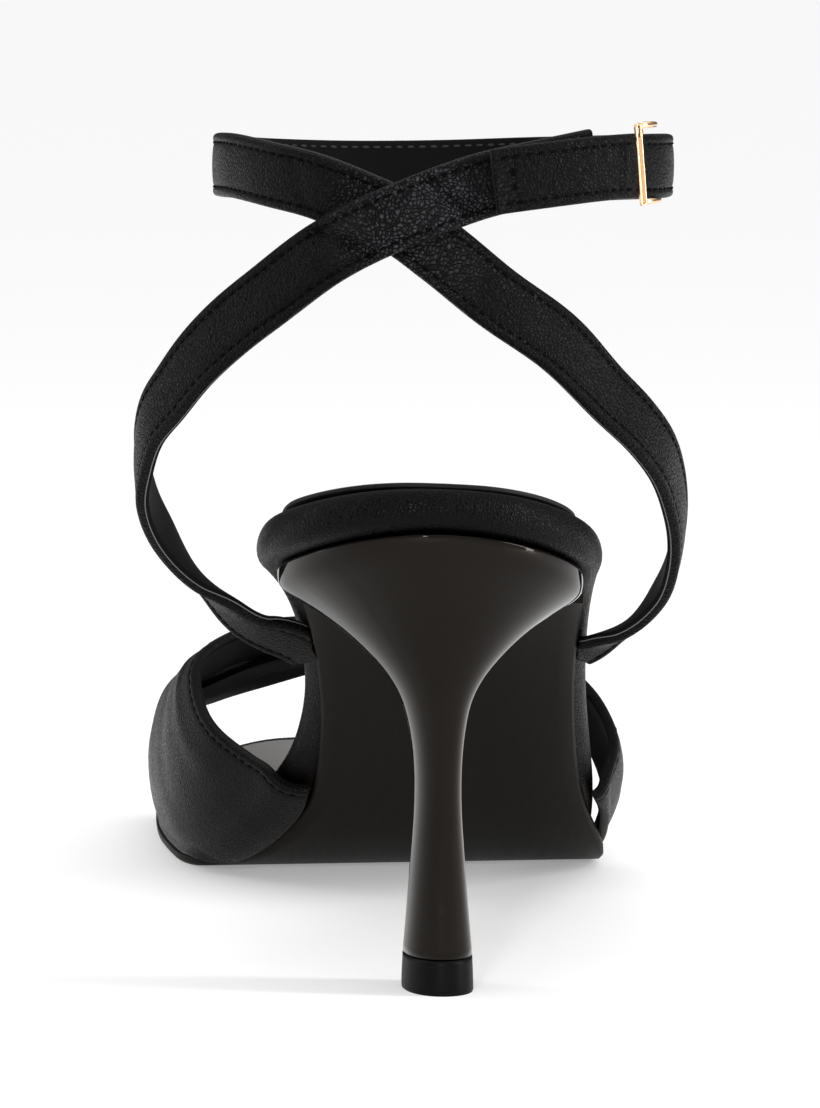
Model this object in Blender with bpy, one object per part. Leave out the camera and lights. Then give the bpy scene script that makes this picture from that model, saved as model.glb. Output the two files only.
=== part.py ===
# Strappy heeled sandal, right foot, in metres. Origin at the centre of the heel tip's foot,
# on the floor; +Y runs to the toe, +X to the outer side of the foot, +Z up.
import math

import bmesh
import bpy
import numpy as np

MM = 0.001

# Driving sizes
GRID_STEPS = 360
SOLE_LENGTH = 232 * MM
BALL_WIDTH = 80 * MM
HEEL_HEIGHT = 77 * MM
BACK_REACH = 20.5 * MM
BED_THICKNESS = 7.8 * MM
BED_TOP_ROUND = 3.2 * MM
BED_CUP = 2.2 * MM
OUTSOLE_WALL = 1.65 * MM
EDGE_BREAK = 0.5 * MM
LINING_WALL = 0.8 * MM
LINING_INSET = 4.5 * MM
PIECE_GAP = 0.3 * MM
HEEL_GAP = 0.45 * MM
SOLE_GAP = 0.45 * MM
SOCK_GAP = 0.7 * MM
STRAP_GAP = 0.75 * MM
FOLD_REACH = 3.5 * MM
HEEL_BREAST = 26 * MM
HEEL_TURN = math.radians(7)
HEEL_ROUND = 27 * MM
TOE_ROUND = 36 * MM
TIP_HEIGHT = 5.8 * MM
BAND_WALL = 2.0 * MM
BAND_LIFT = 1.3 * MM
TOE_BAND_LIFT = 0.6 * MM
CROSSING_LIFT = 2.5 * MM
LOOP_WIDTH = 77.6 * MM
STRAP_WIDTH = 10.6 * MM
STRAP_WALL = 2.4 * MM
TAB_WIDTH = 10.6 * MM
TAB_WALL = 1.6 * MM
BUCKLE_HEIGHT = 14.2 * MM
BUCKLE_ROD = 0.7 * MM
BUCKLE_SLACK = 0.45 * MM
BUCKLE_TURN = 1.6 * MM
BUCKLE_PITCH = 1.7 * MM
SLOT_LENGTH = 2.6 * MM
CUT_DEPTH = 6 * MM
SEAT_TILT = 0.045
SEAT_TILT_FROM = -4 * MM

SEAT_DROOP = 3.5 * MM
DROOP_REACH = 25 * MM
DROOP_FROM = -1 * MM

# Where the seat's tilt and droop start to fade and where they are gone, in shares of the sole length
TILT_FADE = (0.1961, 0.4978)
DROOP_FADE = (0.15, 0.36)

# The buckle's places along the outer strap, in shares of that strap's length
BUCKLE_PLACES = {"near": 0.9525, "far": 0.915}

# The inner strap's rise over the outer one: its middle and its spread along the strap
CROSSING_PLACE = {"middle": 0.79, "spread": 0.085}

# Footbed, a row per section from the back of the seat to the toe. Along is a share of the sole
# length, underside of the heel height, thickness and under_round of the footbed thickness,
# inside and outside (half widths) of the ball width.
BED_COLUMNS = ("along", "underside", "thickness", "inside", "outside", "under_round")
BED_ROWS = (
    (0, 1.0156, 1, 0.3575, 0.35, 0.4615),
    (0.0884, 0.9649, 1, 0.3612, 0.3513, 0.4615),
    (0.153, 0.9221, 1, 0.36, 0.3612, 0.4615),
    (0.2091, 0.874, 0.9872, 0.3375, 0.3775, 0.5128),
    (0.2522, 0.813, 0.9615, 0.3, 0.3888, 0.5897),
    (0.2953, 0.7299, 0.9231, 0.2538, 0.3987, 0.6667),
    (0.347, 0.613, 0.8718, 0.215, 0.4125, 0.7179),
    (0.4116, 0.4623, 0.8077, 0.1913, 0.4375, 0.7436),
    (0.4677, 0.3312, 0.7564, 0.2025, 0.4688, 0.7179),
    (0.5108, 0.2338, 0.7179, 0.2425, 0.4925, 0.6667),
    (0.5625, 0.1273, 0.6795, 0.3075, 0.51, 0.5385),
    (0.597, 0.0727, 0.6538, 0.345, 0.515, 0.4359),
    (0.6315, 0.0377, 0.641, 0.3712, 0.5162, 0.3333),
    (0.6616, 0.0273, 0.6282, 0.385, 0.5138, 0.2821),
    (0.7349, 0.0273, 0.6026, 0.4025, 0.495, 0.2564),
    (0.7996, 0.0273, 0.5897, 0.4075, 0.455, 0.2564),
    (0.8642, 0.0481, 0.5769, 0.405, 0.3975, 0.2564),
    (0.9289, 0.087, 0.5641, 0.3875, 0.3375, 0.2564),
    (1, 0.1416, 0.5385, 0.3625, 0.3, 0.2564),
)

# Outsole half widths, heel breast to toe, in the same shares
SOLE_COLUMNS = ("along", "inside", "outside")
SOLE_ROWS = (
    (0.2004, 0.2625, 0.3425),
    (0.2694, 0.2313, 0.3625),
    (0.3039, 0.2062, 0.37),
    (0.347, 0.1825, 0.38),
    (0.3901, 0.1625, 0.395),
    (0.4332, 0.1525, 0.415),
    (0.4763, 0.15, 0.4375),
    (0.5108, 0.1562, 0.4625),
    (0.5496, 0.2, 0.5025),
    (0.597, 0.2812, 0.5475),
    (0.6315, 0.3625, 0.5575),
    (0.6703, 0.4162, 0.5525),
    (0.7349, 0.435, 0.525),
    (0.7996, 0.4437, 0.485),
    (0.8642, 0.4412, 0.4275),
    (0.9289, 0.4188, 0.365),
    (1.0065, 0.3875, 0.325),
)

# Heel block from the seat down: height is a share of the heel height, the others of the ball
# width; follow is how much of the seat's slope the section keeps.
HEEL_COLUMNS = ("height", "inside", "outside", "back", "widest", "front", "follow")
HEEL_ROWS = (
    (0.913, 0.2987, 0.335, -0.235, 0.1625, 0.3, 1),
    (0.8883, 0.2987, 0.335, -0.2362, 0.1625, 0.3, 1),
    (0.8649, 0.2825, 0.3175, -0.2237, 0.1562, 0.285, 0.95),
    (0.839, 0.2525, 0.2875, -0.2038, 0.1375, 0.2575, 0.85),
    (0.8052, 0.215, 0.245, -0.18, 0.1125, 0.2225, 0.7),
    (0.7636, 0.1725, 0.1925, -0.1537, 0.0813, 0.1825, 0.5),
    (0.7169, 0.13, 0.14, -0.1325, 0.05, 0.1425, 0.3),
    (0.6701, 0.0938, 0.095, -0.1163, 0.0275, 0.1125, 0.15),
    (0.6208, 0.0688, 0.0663, -0.1038, 0.0125, 0.09, 0),
    (0.561, 0.055, 0.0537, -0.0938, 0.0037, 0.075, 0),
    (0.4935, 0.0462, 0.0462, -0.0863, 0, 0.0663, 0),
    (0.4026, 0.045, 0.045, -0.0825, 0, 0.0638, 0),
    (0.3117, 0.0512, 0.0512, -0.085, 0, 0.0663, 0),
    (0.1948, 0.0594, 0.0594, -0.0912, 0, 0.0713, 0),
    (0.0792, 0.0688, 0.0688, -0.1, 0, 0.08, 0),
)

# Heel tip from the floor up: level is a share of its height, grow multiplies the heel's foot
TIP_COLUMNS = ("level", "grow")
TIP_ROWS = (
    (0, 1.02),
    (0.0862, 1.045),
    (1, 1),
)

# Form under the forefoot straps: top over the middle of the foot in shares of the heel height,
# widest reach to both sides in shares of the ball width
CROWN_COLUMNS = ("along", "top", "inside", "outside")
CROWN_ROWS = (
    (0.4504, 0.7403, 0.2, 0.46),
    (0.4849, 0.7143, 0.225, 0.485),
    (0.4978, 0.7013, 0.2475, 0.4987),
    (0.5108, 0.6883, 0.275, 0.515),
    (0.528, 0.6701, 0.31, 0.5312),
    (0.5496, 0.6481, 0.3525, 0.5463),
    (0.5711, 0.6286, 0.3825, 0.5563),
    (0.6056, 0.5974, 0.415, 0.5613),
    (0.6487, 0.5506, 0.4375, 0.5575),
    (0.7134, 0.4831, 0.4475, 0.5325),
    (0.778, 0.4234, 0.4425, 0.4925),
    (0.8427, 0.3506, 0.4325, 0.445),
    (0.9073, 0.3013, 0.4125, 0.375),
    (0.9504, 0.2727, 0.3875, 0.3375),
)

# Rounded shoulders of that form: height over the footbed and reach, as shares of the form's own
SHOULDERS = {
    "inside": ((0.42, 1), (0.62, 0.98), (0.80, 0.91), (0.925, 0.68)),
    "outside": ((0.24, 1), (0.46, 0.95), (0.68, 0.82), (0.88, 0.58)),
}

# Forefoot straps: round runs from the inner sole edge (0) over the foot to the outer (1),
# rear and front edge are shares of the sole length.
REAR_BAND_COLUMNS = ("round", "rear", "front")
REAR_BAND_ROWS = (
    (0, 0.4892, 0.8297),
    (0.06, 0.4955, 0.8297),
    (0.12, 0.5155, 0.8254),
    (0.18, 0.543, 0.8082),
    (0.24, 0.5715, 0.778),
    (0.32, 0.6056, 0.7435),
    (0.4, 0.6272, 0.7263),
    (0.5, 0.6487, 0.7435),
    (0.6, 0.6703, 0.7737),
    (0.7, 0.6918, 0.8039),
    (0.8, 0.7134, 0.8341),
    (0.9, 0.7263, 0.8599),
    (1, 0.7349, 0.8772),
)

CROSS_BAND_COLUMNS = ("round", "rear", "front")
CROSS_BAND_ROWS = (
    (0, 0.8125, 0.8728),
    (0.1, 0.8039, 0.8642),
    (0.2, 0.7866, 0.847),
    (0.3, 0.7565, 0.8168),
    (0.4, 0.7134, 0.778),
    (0.5, 0.6659, 0.7392),
    (0.6, 0.6228, 0.7091),
    (0.7, 0.5841, 0.6789),
    (0.8, 0.5496, 0.653),
    (0.9, 0.5237, 0.6401),
    (1, 0.5065, 0.6315),
)

TOE_BAND_COLUMNS = ("round", "rear", "front")
TOE_BAND_ROWS = (
    (0, 0.8772, 0.9289),
    (0.1, 0.8685, 0.9203),
    (0.2, 0.8513, 0.903),
    (0.3, 0.8211, 0.8728),
    (0.4, 0.7823, 0.8297),
    (0.5, 0.7349, 0.7823),
    (0.6, 0.6918, 0.7392),
    (0.7, 0.653, 0.6961),
    (0.8, 0.6228, 0.6659),
    (0.9, 0.6056, 0.6487),
    (1, 0.597, 0.6401),
)

# Stations near each end of a forefoot strap, and the edge of its section: across from -1 to 1
# and height in walls
BAND_END_SHARES = (0, 0.006, 0.012, 0.018, 0.025, 0.033, 0.045, 0.06, 0.08)
BAND_FLAT = 0.92
BAND_CROWN = 0.05

# Section of an ankle strap: across in half widths and height in walls
STRAP_SECTION = (
    (-1, 0),
    (-0.93, -0.38),
    (-0.8, -0.5),
    (0, -0.5),
    (0.8, -0.5),
    (0.93, -0.38),
    (1, 0),
    (0.93, 0.38),
    (0.8, 0.5),
    (0, 0.54),
    (-0.8, 0.5),
    (-0.93, 0.38),
)

# Ankle straps, a row per station of the centre line: x and y are shares of the ankle loop
# width, z of the heel height; heading and dip turn the outer face, in degrees.
INNER_STRAP_COLUMNS = ("x", "y", "z", "heading", "dip")
INNER_STRAP_ROWS = (
    (-0.1907, 0.7448, 0.6273, -26, 48),
    (-0.2242, 0.7216, 0.6519, -26, 43),
    (-0.3479, 0.6701, 0.7117, -45, 40),
    (-0.4175, 0.6057, 0.7766, -65, 32),
    (-0.482, 0.5541, 0.839, -85, 22),
    (-0.5374, 0.4897, 0.9143, -100, 14),
    (-0.5786, 0.4253, 0.987, -102, 8),
    (-0.6005, 0.3608, 1.0597, -98, 3),
    (-0.6031, 0.2964, 1.1325, -86, 0),
    (-0.5876, 0.2191, 1.2143, -76, -2),
    (-0.5541, 0.1546, 1.2727, -66, -2),
    (-0.5, 0.0773, 1.3558, -58, -1),
    (-0.4369, 0.0129, 1.426, -48, 0),
    (-0.366, -0.0515, 1.4896, -38, 0),
    (-0.241, -0.1224, 1.5883, -24, 0),
    (-0.0992, -0.1753, 1.6649, -12, 0),
    (0.0696, -0.183, 1.7273, 2, 0),
    (0.1997, -0.1546, 1.7532, 14, 0),
    (0.3157, -0.1057, 1.774, 26, 0),
)

OUTER_STRAP_COLUMNS = ("x", "y", "z", "heading", "dip")
OUTER_STRAP_ROWS = (
    (0.3814, 0.7397, 0.6234, 26, 48),
    (0.4124, 0.7191, 0.6442, 26, 43),
    (0.451, 0.6701, 0.6688, 45, 40),
    (0.4961, 0.6186, 0.7013, 60, 32),
    (0.5284, 0.567, 0.7481, 75, 24),
    (0.5593, 0.5026, 0.813, 80, 14),
    (0.5702, 0.4253, 0.8961, 79, 8),
    (0.5642, 0.3608, 0.9714, 74, 3),
    (0.5448, 0.2964, 1.0442, 67, 0),
    (0.5092, 0.2191, 1.1208, 61, -2),
    (0.4497, 0.1418, 1.1948, 58, -2),
    (0.3763, 0.0773, 1.2649, 52, -1),
    (0.2487, -0.0387, 1.3909, 34, 0),
    (0.1044, -0.116, 1.4935, 18, 0),
    (-0.0129, -0.1456, 1.5883, 4, 0),
    (-0.0966, -0.1366, 1.6494, -8, 0),
    (-0.1791, -0.116, 1.6883, -22, 0),
    (-0.2603, -0.0773, 1.7208, -36, 0),
    (-0.3505, 0.0129, 1.7429, -54, 0),
    (-0.4098, 0.1546, 1.7545, -74, 0),
    (-0.4304, 0.3222, 1.7519, -90, 0),
    (-0.4021, 0.5541, 1.7377, -115, 0),
    (-0.2964, 0.7474, 1.7221, -140, 0),
    (-0.1031, 0.8544, 1.7117, -165, 0),
    (0.1031, 0.8711, 1.7117, -188, 0),
    (0.2835, 0.8054, 1.7195, -212, 0),
    (0.4459, 0.6443, 1.7299, -240, 0),
    (0.5155, 0.451, 1.7403, -262, 0),
    (0.5206, 0.2577, 1.7481, -282, 0),
    (0.4716, 0.0902, 1.7532, -297, 0),
    (0.366, -0.0206, 1.7558, -318, 0),
    (0.2242, -0.0954, 1.7532, -338, 0),
)

TAB_COLUMNS = ("x", "y", "z", "heading", "dip")
TAB_ROWS = (
    (0.0889, -0.2287, 1.7364, 4, 0),
    (0.1649, -0.2159, 1.7455, 12, 0),
    (0.241, -0.1894, 1.7532, 22, 0),
    (0.3273, -0.134, 1.7597, 36, 0),
    (0.4072, -0.0593, 1.7623, 48, 0),
)


def wipe_scene():
    for item in list(bpy.data.objects):
        bpy.data.objects.remove(item, do_unlink=True)


def make_collection(name):
    group = bpy.data.collections.new(name)
    bpy.context.scene.collection.children.link(group)
    return group


def make_material(name, colour, roughness, metallic=0.0):
    material = bpy.data.materials.new(name)
    material.use_nodes = True
    shader = material.node_tree.nodes["Principled BSDF"]
    shader.inputs["Base Color"].default_value = (colour[0], colour[1], colour[2], 1.0)
    shader.inputs["Roughness"].default_value = roughness
    shader.inputs["Metallic"].default_value = metallic
    material.diffuse_color = (colour[0], colour[1], colour[2], 1.0)
    return material


def column(columns, rows, name):
    return np.array([row[columns.index(name)] for row in rows], dtype=float)


def smooth(known, values, at):
    # Monotone cubic through the known stations, held level beyond both ends
    at = np.clip(np.asarray(at, dtype=float), known[0], known[-1])
    step = np.diff(known)
    slope = np.diff(values) / step
    tangent = np.zeros(len(known))
    tangent[0] = slope[0]
    tangent[-1] = slope[-1]
    for i in range(1, len(known) - 1):
        if slope[i - 1] * slope[i] > 0:
            first = 2 * step[i] + step[i - 1]
            second = step[i] + 2 * step[i - 1]
            tangent[i] = (first + second) / (first / slope[i - 1] + second / slope[i])
    k = np.clip(np.searchsorted(known, at, side="right") - 1, 0, len(step) - 1)
    t = (at - known[k]) / step[k]
    a = (1 + 2 * t) * (1 - t) ** 2
    b = t * (1 - t) ** 2
    c = t * t * (3 - 2 * t)
    d = t * t * (t - 1)
    return a * values[k] + b * step[k] * tangent[k] + c * values[k + 1] + d * step[k] * tangent[k + 1]


def along(y):
    return (np.asarray(y, dtype=float) + BACK_REACH) / SOLE_LENGTH


def station(share):
    return share * SOLE_LENGTH - BACK_REACH


def bed_value(name, y, scale):
    known = column(BED_COLUMNS, BED_ROWS, "along")
    return scale * smooth(known, column(BED_COLUMNS, BED_ROWS, name), along(y))


def underside(y):
    return bed_value("underside", y, HEEL_HEIGHT)


def slope_normal(y):
    step = 0.5 * MM
    rise = (underside(np.asarray(y) + step) - underside(np.asarray(y) - step)) / (2 * step)
    size = np.sqrt(1 + rise * rise)
    return -rise / size, 1 / size


def fade_out(y, span):
    start, end = span
    fade = np.clip((end - along(y)) / (end - start), 0, 1)
    return fade * fade * (3 - 2 * fade)


def tilt(x, y):
    # The seat drops a little towards the outer side and arches down to both edges; both are
    # gone before the ball
    x = np.asarray(x, dtype=float)
    leaning = -SEAT_TILT * (x - SEAT_TILT_FROM) * fade_out(y, TILT_FADE)
    return leaning - SEAT_DROOP * ((x - DROOP_FROM) / DROOP_REACH) ** 2 * fade_out(y, DROOP_FADE)


def raised(x, y, height):
    # A point over the footbed's underside, height measured square to its slope
    ny, nz = slope_normal(y)
    return np.stack([x, y + ny * height, underside(y) + nz * height + tilt(x, y)], axis=-1)


def cup(x, y):
    # Hollow in the top of the footbed
    rounding = end_round(y, -BACK_REACH, SOLE_LENGTH - BACK_REACH, HEEL_ROUND, TOE_ROUND)
    inner = bed_value("inside", y, BALL_WIDTH)
    outer = bed_value("outside", y, BALL_WIDTH)
    middle = 0.5 * (outer - inner)
    reach = np.maximum(0.5 * (outer + inner) * rounding - BED_TOP_ROUND, 1 * MM)
    return BED_CUP * rounding * np.clip(1 - ((x - middle * rounding) / reach) ** 2, 0, 1)


def end_round(y, back, front, back_zone, front_zone):
    y = np.asarray(y, dtype=float)
    heel = np.clip((back + back_zone - y) / back_zone, 0, 1)
    toe = np.clip((y - front + front_zone) / front_zone, 0, 1)
    return (1 - heel ** 2) ** 0.5 * (1 - toe ** 2.4) ** (1 / 2.4)


def spread(start, end, count, back_zone, front_zone):
    # Stations set closer together in the two rounded ends
    body = np.linspace(start, end, count)
    heel = start + back_zone * (1 - np.cos(np.linspace(0.16, math.pi / 2, 8)))
    toe = end - front_zone * (1 - np.cos(np.linspace(math.pi / 2, 0.2, 9)))
    middle = [y for y in body if heel[-1] + 1.5 * MM < y < toe[0] - 1.5 * MM]
    return np.concatenate([heel if back_zone > 0 else [start, start + 3 * MM], middle, toe])


def plan_loop(y, inner, outer):
    # Outline as one loop: the outer side to the toe, then the inner side back
    loop = np.concatenate([np.stack([outer, y], 1), np.stack([-inner, y], 1)[::-1]])
    ahead = np.roll(loop, -1, 0) - np.roll(loop, 1, 0)
    normal = np.stack([ahead[:, 1], -ahead[:, 0]], 1)
    return loop, normal / np.linalg.norm(normal, axis=1)[:, None]


def build_object(name, points, faces, material, group, shade=True):
    mesh = bpy.data.meshes.new(name)
    corners = [tuple(float(value) for value in point) for point in points]
    mesh.from_pydata(corners, [], [tuple(int(i) for i in face) for face in faces])
    mesh.validate()
    mesh.update()
    item = bpy.data.objects.new(name, mesh)
    if material is not None:
        mesh.materials.append(material)
    group.objects.link(item)
    if shade:
        for polygon in mesh.polygons:
            polygon.use_smooth = True
    return item


def no_drop(x, y, level):
    return 0.0 * x


def plate(name, outline, levels, drop, material, group, columns_across=4):
    # A sheet over the footbed's underside. Levels are pairs of inset and height per loop point.
    y, inner, outer = outline
    count = len(y)
    loop, normal = plan_loop(y, inner, outer)
    size = 2 * count
    points = []
    rings = []
    for inset, height in levels:
        ring = loop - normal * np.broadcast_to(inset(loop[:, 1]), (size,))[:, None]
        sunk = drop(ring[:, 0], ring[:, 1], len(rings))
        rings.append(ring)
        points.append(raised(ring[:, 0], ring[:, 1], height(loop[:, 1]) - sunk))
    faces = []
    for level in range(len(levels) - 1):
        for i in range(size):
            j = (i + 1) % size
            a = level * size
            faces.append((a + i, a + j, a + size + j, a + size + i))
    stack = np.concatenate(points)
    total = len(stack)
    extra = []
    for side, level in ((0, 0), (1, len(levels) - 1)):
        ring = rings[level]
        high = np.broadcast_to(levels[level][1](loop[:, 1]), (size,))
        grid = np.zeros((count, columns_across + 1), dtype=int)
        for k in range(count):
            right = level * size + k
            left = level * size + (size - 1 - k)
            grid[k, 0] = left
            grid[k, columns_across] = right
            for c in range(1, columns_across if 0 < k < count - 1 else 1):
                s = c / columns_across
                px = ring[size - 1 - k] * (1 - s) + ring[k] * s
                h = high[k] - float(drop(px[0], px[1], level))
                extra.append(raised(px[0], px[1], h))
                grid[k, c] = total
                total += 1
        cap = []
        for k in range(1, count - 2):
            for c in range(columns_across):
                cap.append((grid[k, c], grid[k, c + 1], grid[k + 1, c + 1], grid[k + 1, c]))
        last = count - 1
        for c in range(columns_across):
            start = 0 if c < columns_across / 2 else columns_across
            cap.append((grid[0, start], grid[1, c + 1], grid[1, c]))
            cap.append((grid[last, start], grid[last - 1, c], grid[last - 1, c + 1]))
        middle = columns_across // 2
        cap.append((grid[0, 0], grid[0, columns_across], grid[1, middle]))
        cap.append((grid[last, columns_across], grid[last, 0], grid[last - 1, middle]))
        faces.extend(cap if side == 1 else [face[::-1] for face in cap])
    return build_object(name, np.concatenate([stack, np.array(extra)]), faces, material, group)


def rings_solid(name, rings, material, group, flat=False):
    # Closed solid from a stack of equal rings; a flat ring's ends are closed across its width
    size = len(rings[0])
    faces = []
    for level in range(len(rings) - 1):
        for i in range(size):
            j = (i + 1) % size
            a = level * size
            faces.append((a + i, a + j, a + size + j, a + size + i))
    top = (len(rings) - 1) * size
    points = np.concatenate(rings)
    if flat:
        # The ring starts at one edge, so equal counts lie on both faces
        cap = [(0, 1, size - 1), (size // 2 - 1, size // 2, size // 2 + 1)]
        cap += [(i, i + 1, size - 1 - i, size - i) for i in range(1, size // 2 - 1)]
        for face in cap:
            faces.append(face[::-1])
            faces.append(tuple(top + i for i in face))
    else:
        points = np.concatenate([points, [rings[0].mean(0)], [rings[-1].mean(0)]])
        for i in range(size):
            j = (i + 1) % size
            faces.append((top + size, j, i))
            faces.append((top + size + 1, top + i, top + j))
    return build_object(name, points, faces, material, group)


def fix_outward(item):
    mesh = item.data
    volume = 0.0
    mesh.calc_loop_triangles()
    for triangle in mesh.loop_triangles:
        a, b, c = [mesh.vertices[i].co for i in triangle.vertices]
        volume += a.dot(b.cross(c)) / 6
    if volume < 0:
        mesh.flip_normals()
    return item


def bed_levels(grow):
    # Footbed edge: rounded under, upright in the middle, rounded over the top
    def thickness(y):
        return bed_value("thickness", y, BED_THICKNESS)

    def under(y):
        return bed_value("under_round", y, BED_THICKNESS)

    levels = []
    for out, up in ((1.0, 0.0), (0.5, 0.06), (0.16, 0.2), (0.0, 0.46)):
        levels.append((
            lambda y, out=out: under(y) * out - grow,
            lambda y, up=up: thickness(y) * up - grow * (1 - up),
        ))
    for out, up in ((0.1, 0.74), (0.42, 0.92), (1.0, 1.0)):
        levels.append((
            lambda y, out=out: BED_TOP_ROUND * out - grow,
            lambda y, up=up: (thickness(y) + grow) * up,
        ))
    return levels


def bed_outline(count):
    back = -BACK_REACH
    front = SOLE_LENGTH - BACK_REACH - 1.5 * MM
    y = spread(back, front, count, HEEL_ROUND, TOE_ROUND)
    rounding = end_round(y, back, front, HEEL_ROUND, TOE_ROUND)
    inner = bed_value("inside", y, BALL_WIDTH) * rounding
    outer = bed_value("outside", y, BALL_WIDTH) * rounding
    return y, np.maximum(inner, 4.5 * MM), np.maximum(outer, 4.5 * MM)


def make_footbed(material, group, name="footbed", grow=0.0, count=30):
    levels = bed_levels(grow)

    def hollow(x, y, level):
        return cup(x, y) if level == len(levels) - 1 else no_drop(x, y, level)

    return fix_outward(plate(name, bed_outline(count), levels, hollow, material, group))


def make_lining(material, group, count=26):
    y, inner, outer = bed_outline(count)
    loop, normal = plan_loop(y, inner, outer)
    inset = loop - normal * LINING_INSET
    outer_side = inset[:len(y)]
    inner_side = inset[len(y):][::-1]
    outline = ((outer_side[:, 1] + inner_side[:, 1]) / 2, -inner_side[:, 0], outer_side[:, 0])

    def level(v):
        return v * 0

    def base(v):
        return bed_value("thickness", v, BED_THICKNESS) + SOCK_GAP

    def top(v):
        return base(v) + LINING_WALL

    def hollow(x, y, level):
        return cup(x, y)

    return fix_outward(plate("sock_lining", outline, ((level, base), (level, top)), hollow, material, group))


def outsole_outline(grow, count=26):
    back = HEEL_BREAST
    front = SOLE_LENGTH - BACK_REACH
    y = spread(back, front, count, 0, TOE_ROUND)
    rounding = end_round(y, back - HEEL_ROUND, front, HEEL_ROUND, TOE_ROUND)
    spots = column(SOLE_COLUMNS, SOLE_ROWS, "along")
    inner = BALL_WIDTH * smooth(spots, column(SOLE_COLUMNS, SOLE_ROWS, "inside"), along(y)) * rounding
    outer = BALL_WIDTH * smooth(spots, column(SOLE_COLUMNS, SOLE_ROWS, "outside"), along(y)) * rounding
    return y, np.maximum(inner, 5 * MM) + grow, np.maximum(outer, 5 * MM) + grow


def make_outsole(material, group, name="outsole", grow=0.0, deeper=0.0):
    bottom = -SOLE_GAP - OUTSOLE_WALL - grow - deeper
    top = -SOLE_GAP + grow
    levels = []
    for inset, height in ((EDGE_BREAK, bottom), (0.0, bottom + EDGE_BREAK), (0.0, top)):
        levels.append((
            lambda v, inset=inset: v * 0 + inset,
            lambda v, height=height: v * 0 + height,
        ))
    return fix_outward(plate(name, outsole_outline(grow), levels, no_drop, material, group))


def heel_ring(form, level, grow=1.0, count=26):
    # One level section of the heel: fuller to the front than to the back, turned a little
    side = {"left": form["inside"] * BALL_WIDTH * grow, "right": form["outside"] * BALL_WIDTH * grow}
    widest = form["widest"] * BALL_WIDTH
    front = form["front"] * BALL_WIDTH * grow - widest
    back = widest - form["back"] * BALL_WIDTH * grow
    ring = []
    for i in range(count):
        angle = 2 * math.pi * i / count
        c = math.cos(angle)
        s = math.sin(angle)
        power = 2 / 2.1 if s < 0 else 2 / 3.2
        x = math.copysign(abs(c) ** power, c) * (side["right"] if c > 0 else side["left"])
        y = widest + math.copysign(abs(s) ** power, s) * (front if s > 0 else back)
        turned_x = x * math.cos(HEEL_TURN) - y * math.sin(HEEL_TURN)
        turned_y = x * math.sin(HEEL_TURN) + y * math.cos(HEEL_TURN)
        slope = underside(turned_y) - underside(widest) + tilt(turned_x, turned_y)
        ring.append((turned_x, turned_y, float(level + form["follow"] * slope)))
    return np.array(ring)


def make_heel(material, group):
    # The top ring lies under the footbed, the lowest one over the heel tip
    forms = [dict(zip(HEEL_COLUMNS, row)) for row in HEEL_ROWS[::-1]]
    levels = [form["height"] * HEEL_HEIGHT for form in forms]
    levels[0] = TIP_HEIGHT + PIECE_GAP
    levels[-1] = float(underside(forms[-1]["widest"] * BALL_WIDTH)) - HEEL_GAP
    rings = [heel_ring(form, level) for form, level in zip(forms, levels)]
    return fix_outward(rings_solid("heel", rings, material, group))


def make_tip(material, group):
    foot = dict(zip(HEEL_COLUMNS, HEEL_ROWS[-1]))
    foot["follow"] = 0.0
    rings = [heel_ring(foot, level * TIP_HEIGHT, grow) for level, grow in TIP_ROWS]
    return fix_outward(rings_solid("heel_tip", rings, material, group))


def forefoot_section(y):
    # Inner face of the forefoot straps at one station: from under the inner edge of the footbed,
    # round its side, out to the bulge and over the foot to the other side.
    spots = column(SOLE_COLUMNS, SOLE_ROWS, "along")
    form = column(CROWN_COLUMNS, CROWN_ROWS, "along")
    top = HEEL_HEIGHT * float(smooth(form, column(CROWN_COLUMNS, CROWN_ROWS, "top"), along(y)))
    base = float(underside(y))
    thick = float(bed_value("thickness", y, BED_THICKNESS))
    rise = top - base
    sides = []
    for name, shoulder in SHOULDERS.items():
        bed = float(bed_value(name, y, BALL_WIDTH))
        edge = BALL_WIDTH * float(smooth(spots, column(SOLE_COLUMNS, SOLE_ROWS, name), along(y)))
        wide = BALL_WIDTH * float(smooth(form, column(CROWN_COLUMNS, CROWN_ROWS, name), along(y)))
        turn = float(bed_value("under_round", y, BED_THICKNESS))
        over = bed - edge
        reach = bed + STRAP_GAP
        # Where the footbed overhangs the outsole the strap is turned in under it
        fold = min(max(over / FOLD_REACH, 0), 1)
        level = 0.12 * MM * (1 - fold) - STRAP_GAP * fold
        tucked = fold * min(0.5 * turn + STRAP_GAP, 0.6 * over)
        turned = fold * min(0.06 * turn + STRAP_GAP, 0.2 * over)
        side = [
            (reach - fold * over, base + level),
            (reach - tucked, base + level + (0.1 - 0.04 * fold) * thick),
            (reach - turned, base + (0.22 - 0.08 * fold) * thick),
            (reach, base + 0.46 * thick),
            (reach + 0.35 * (wide - bed), base + 0.95 * thick),
        ]
        sides.append(side + [(out * wide, base + up * rise) for up, out in shoulder])
    middle = 0.5 * (sides[1][5][0] - sides[0][5][0])
    line = np.array([(-x, z) for x, z in sides[0]] + [(middle, top)] + sides[1][::-1])
    reach = np.concatenate([[0], np.cumsum(np.linalg.norm(np.diff(line, axis=0), axis=1))])
    reach = reach / reach[-1]
    fine = np.linspace(0, 1, 2 * GRID_STEPS + 1)
    x = natural_curve(reach, line[:, 0], fine)
    z = natural_curve(reach, line[:, 1], fine)
    measure = np.concatenate([[0], np.cumsum(np.hypot(np.diff(x), np.diff(z)))])
    return measure / measure[-1], x, z


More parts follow.
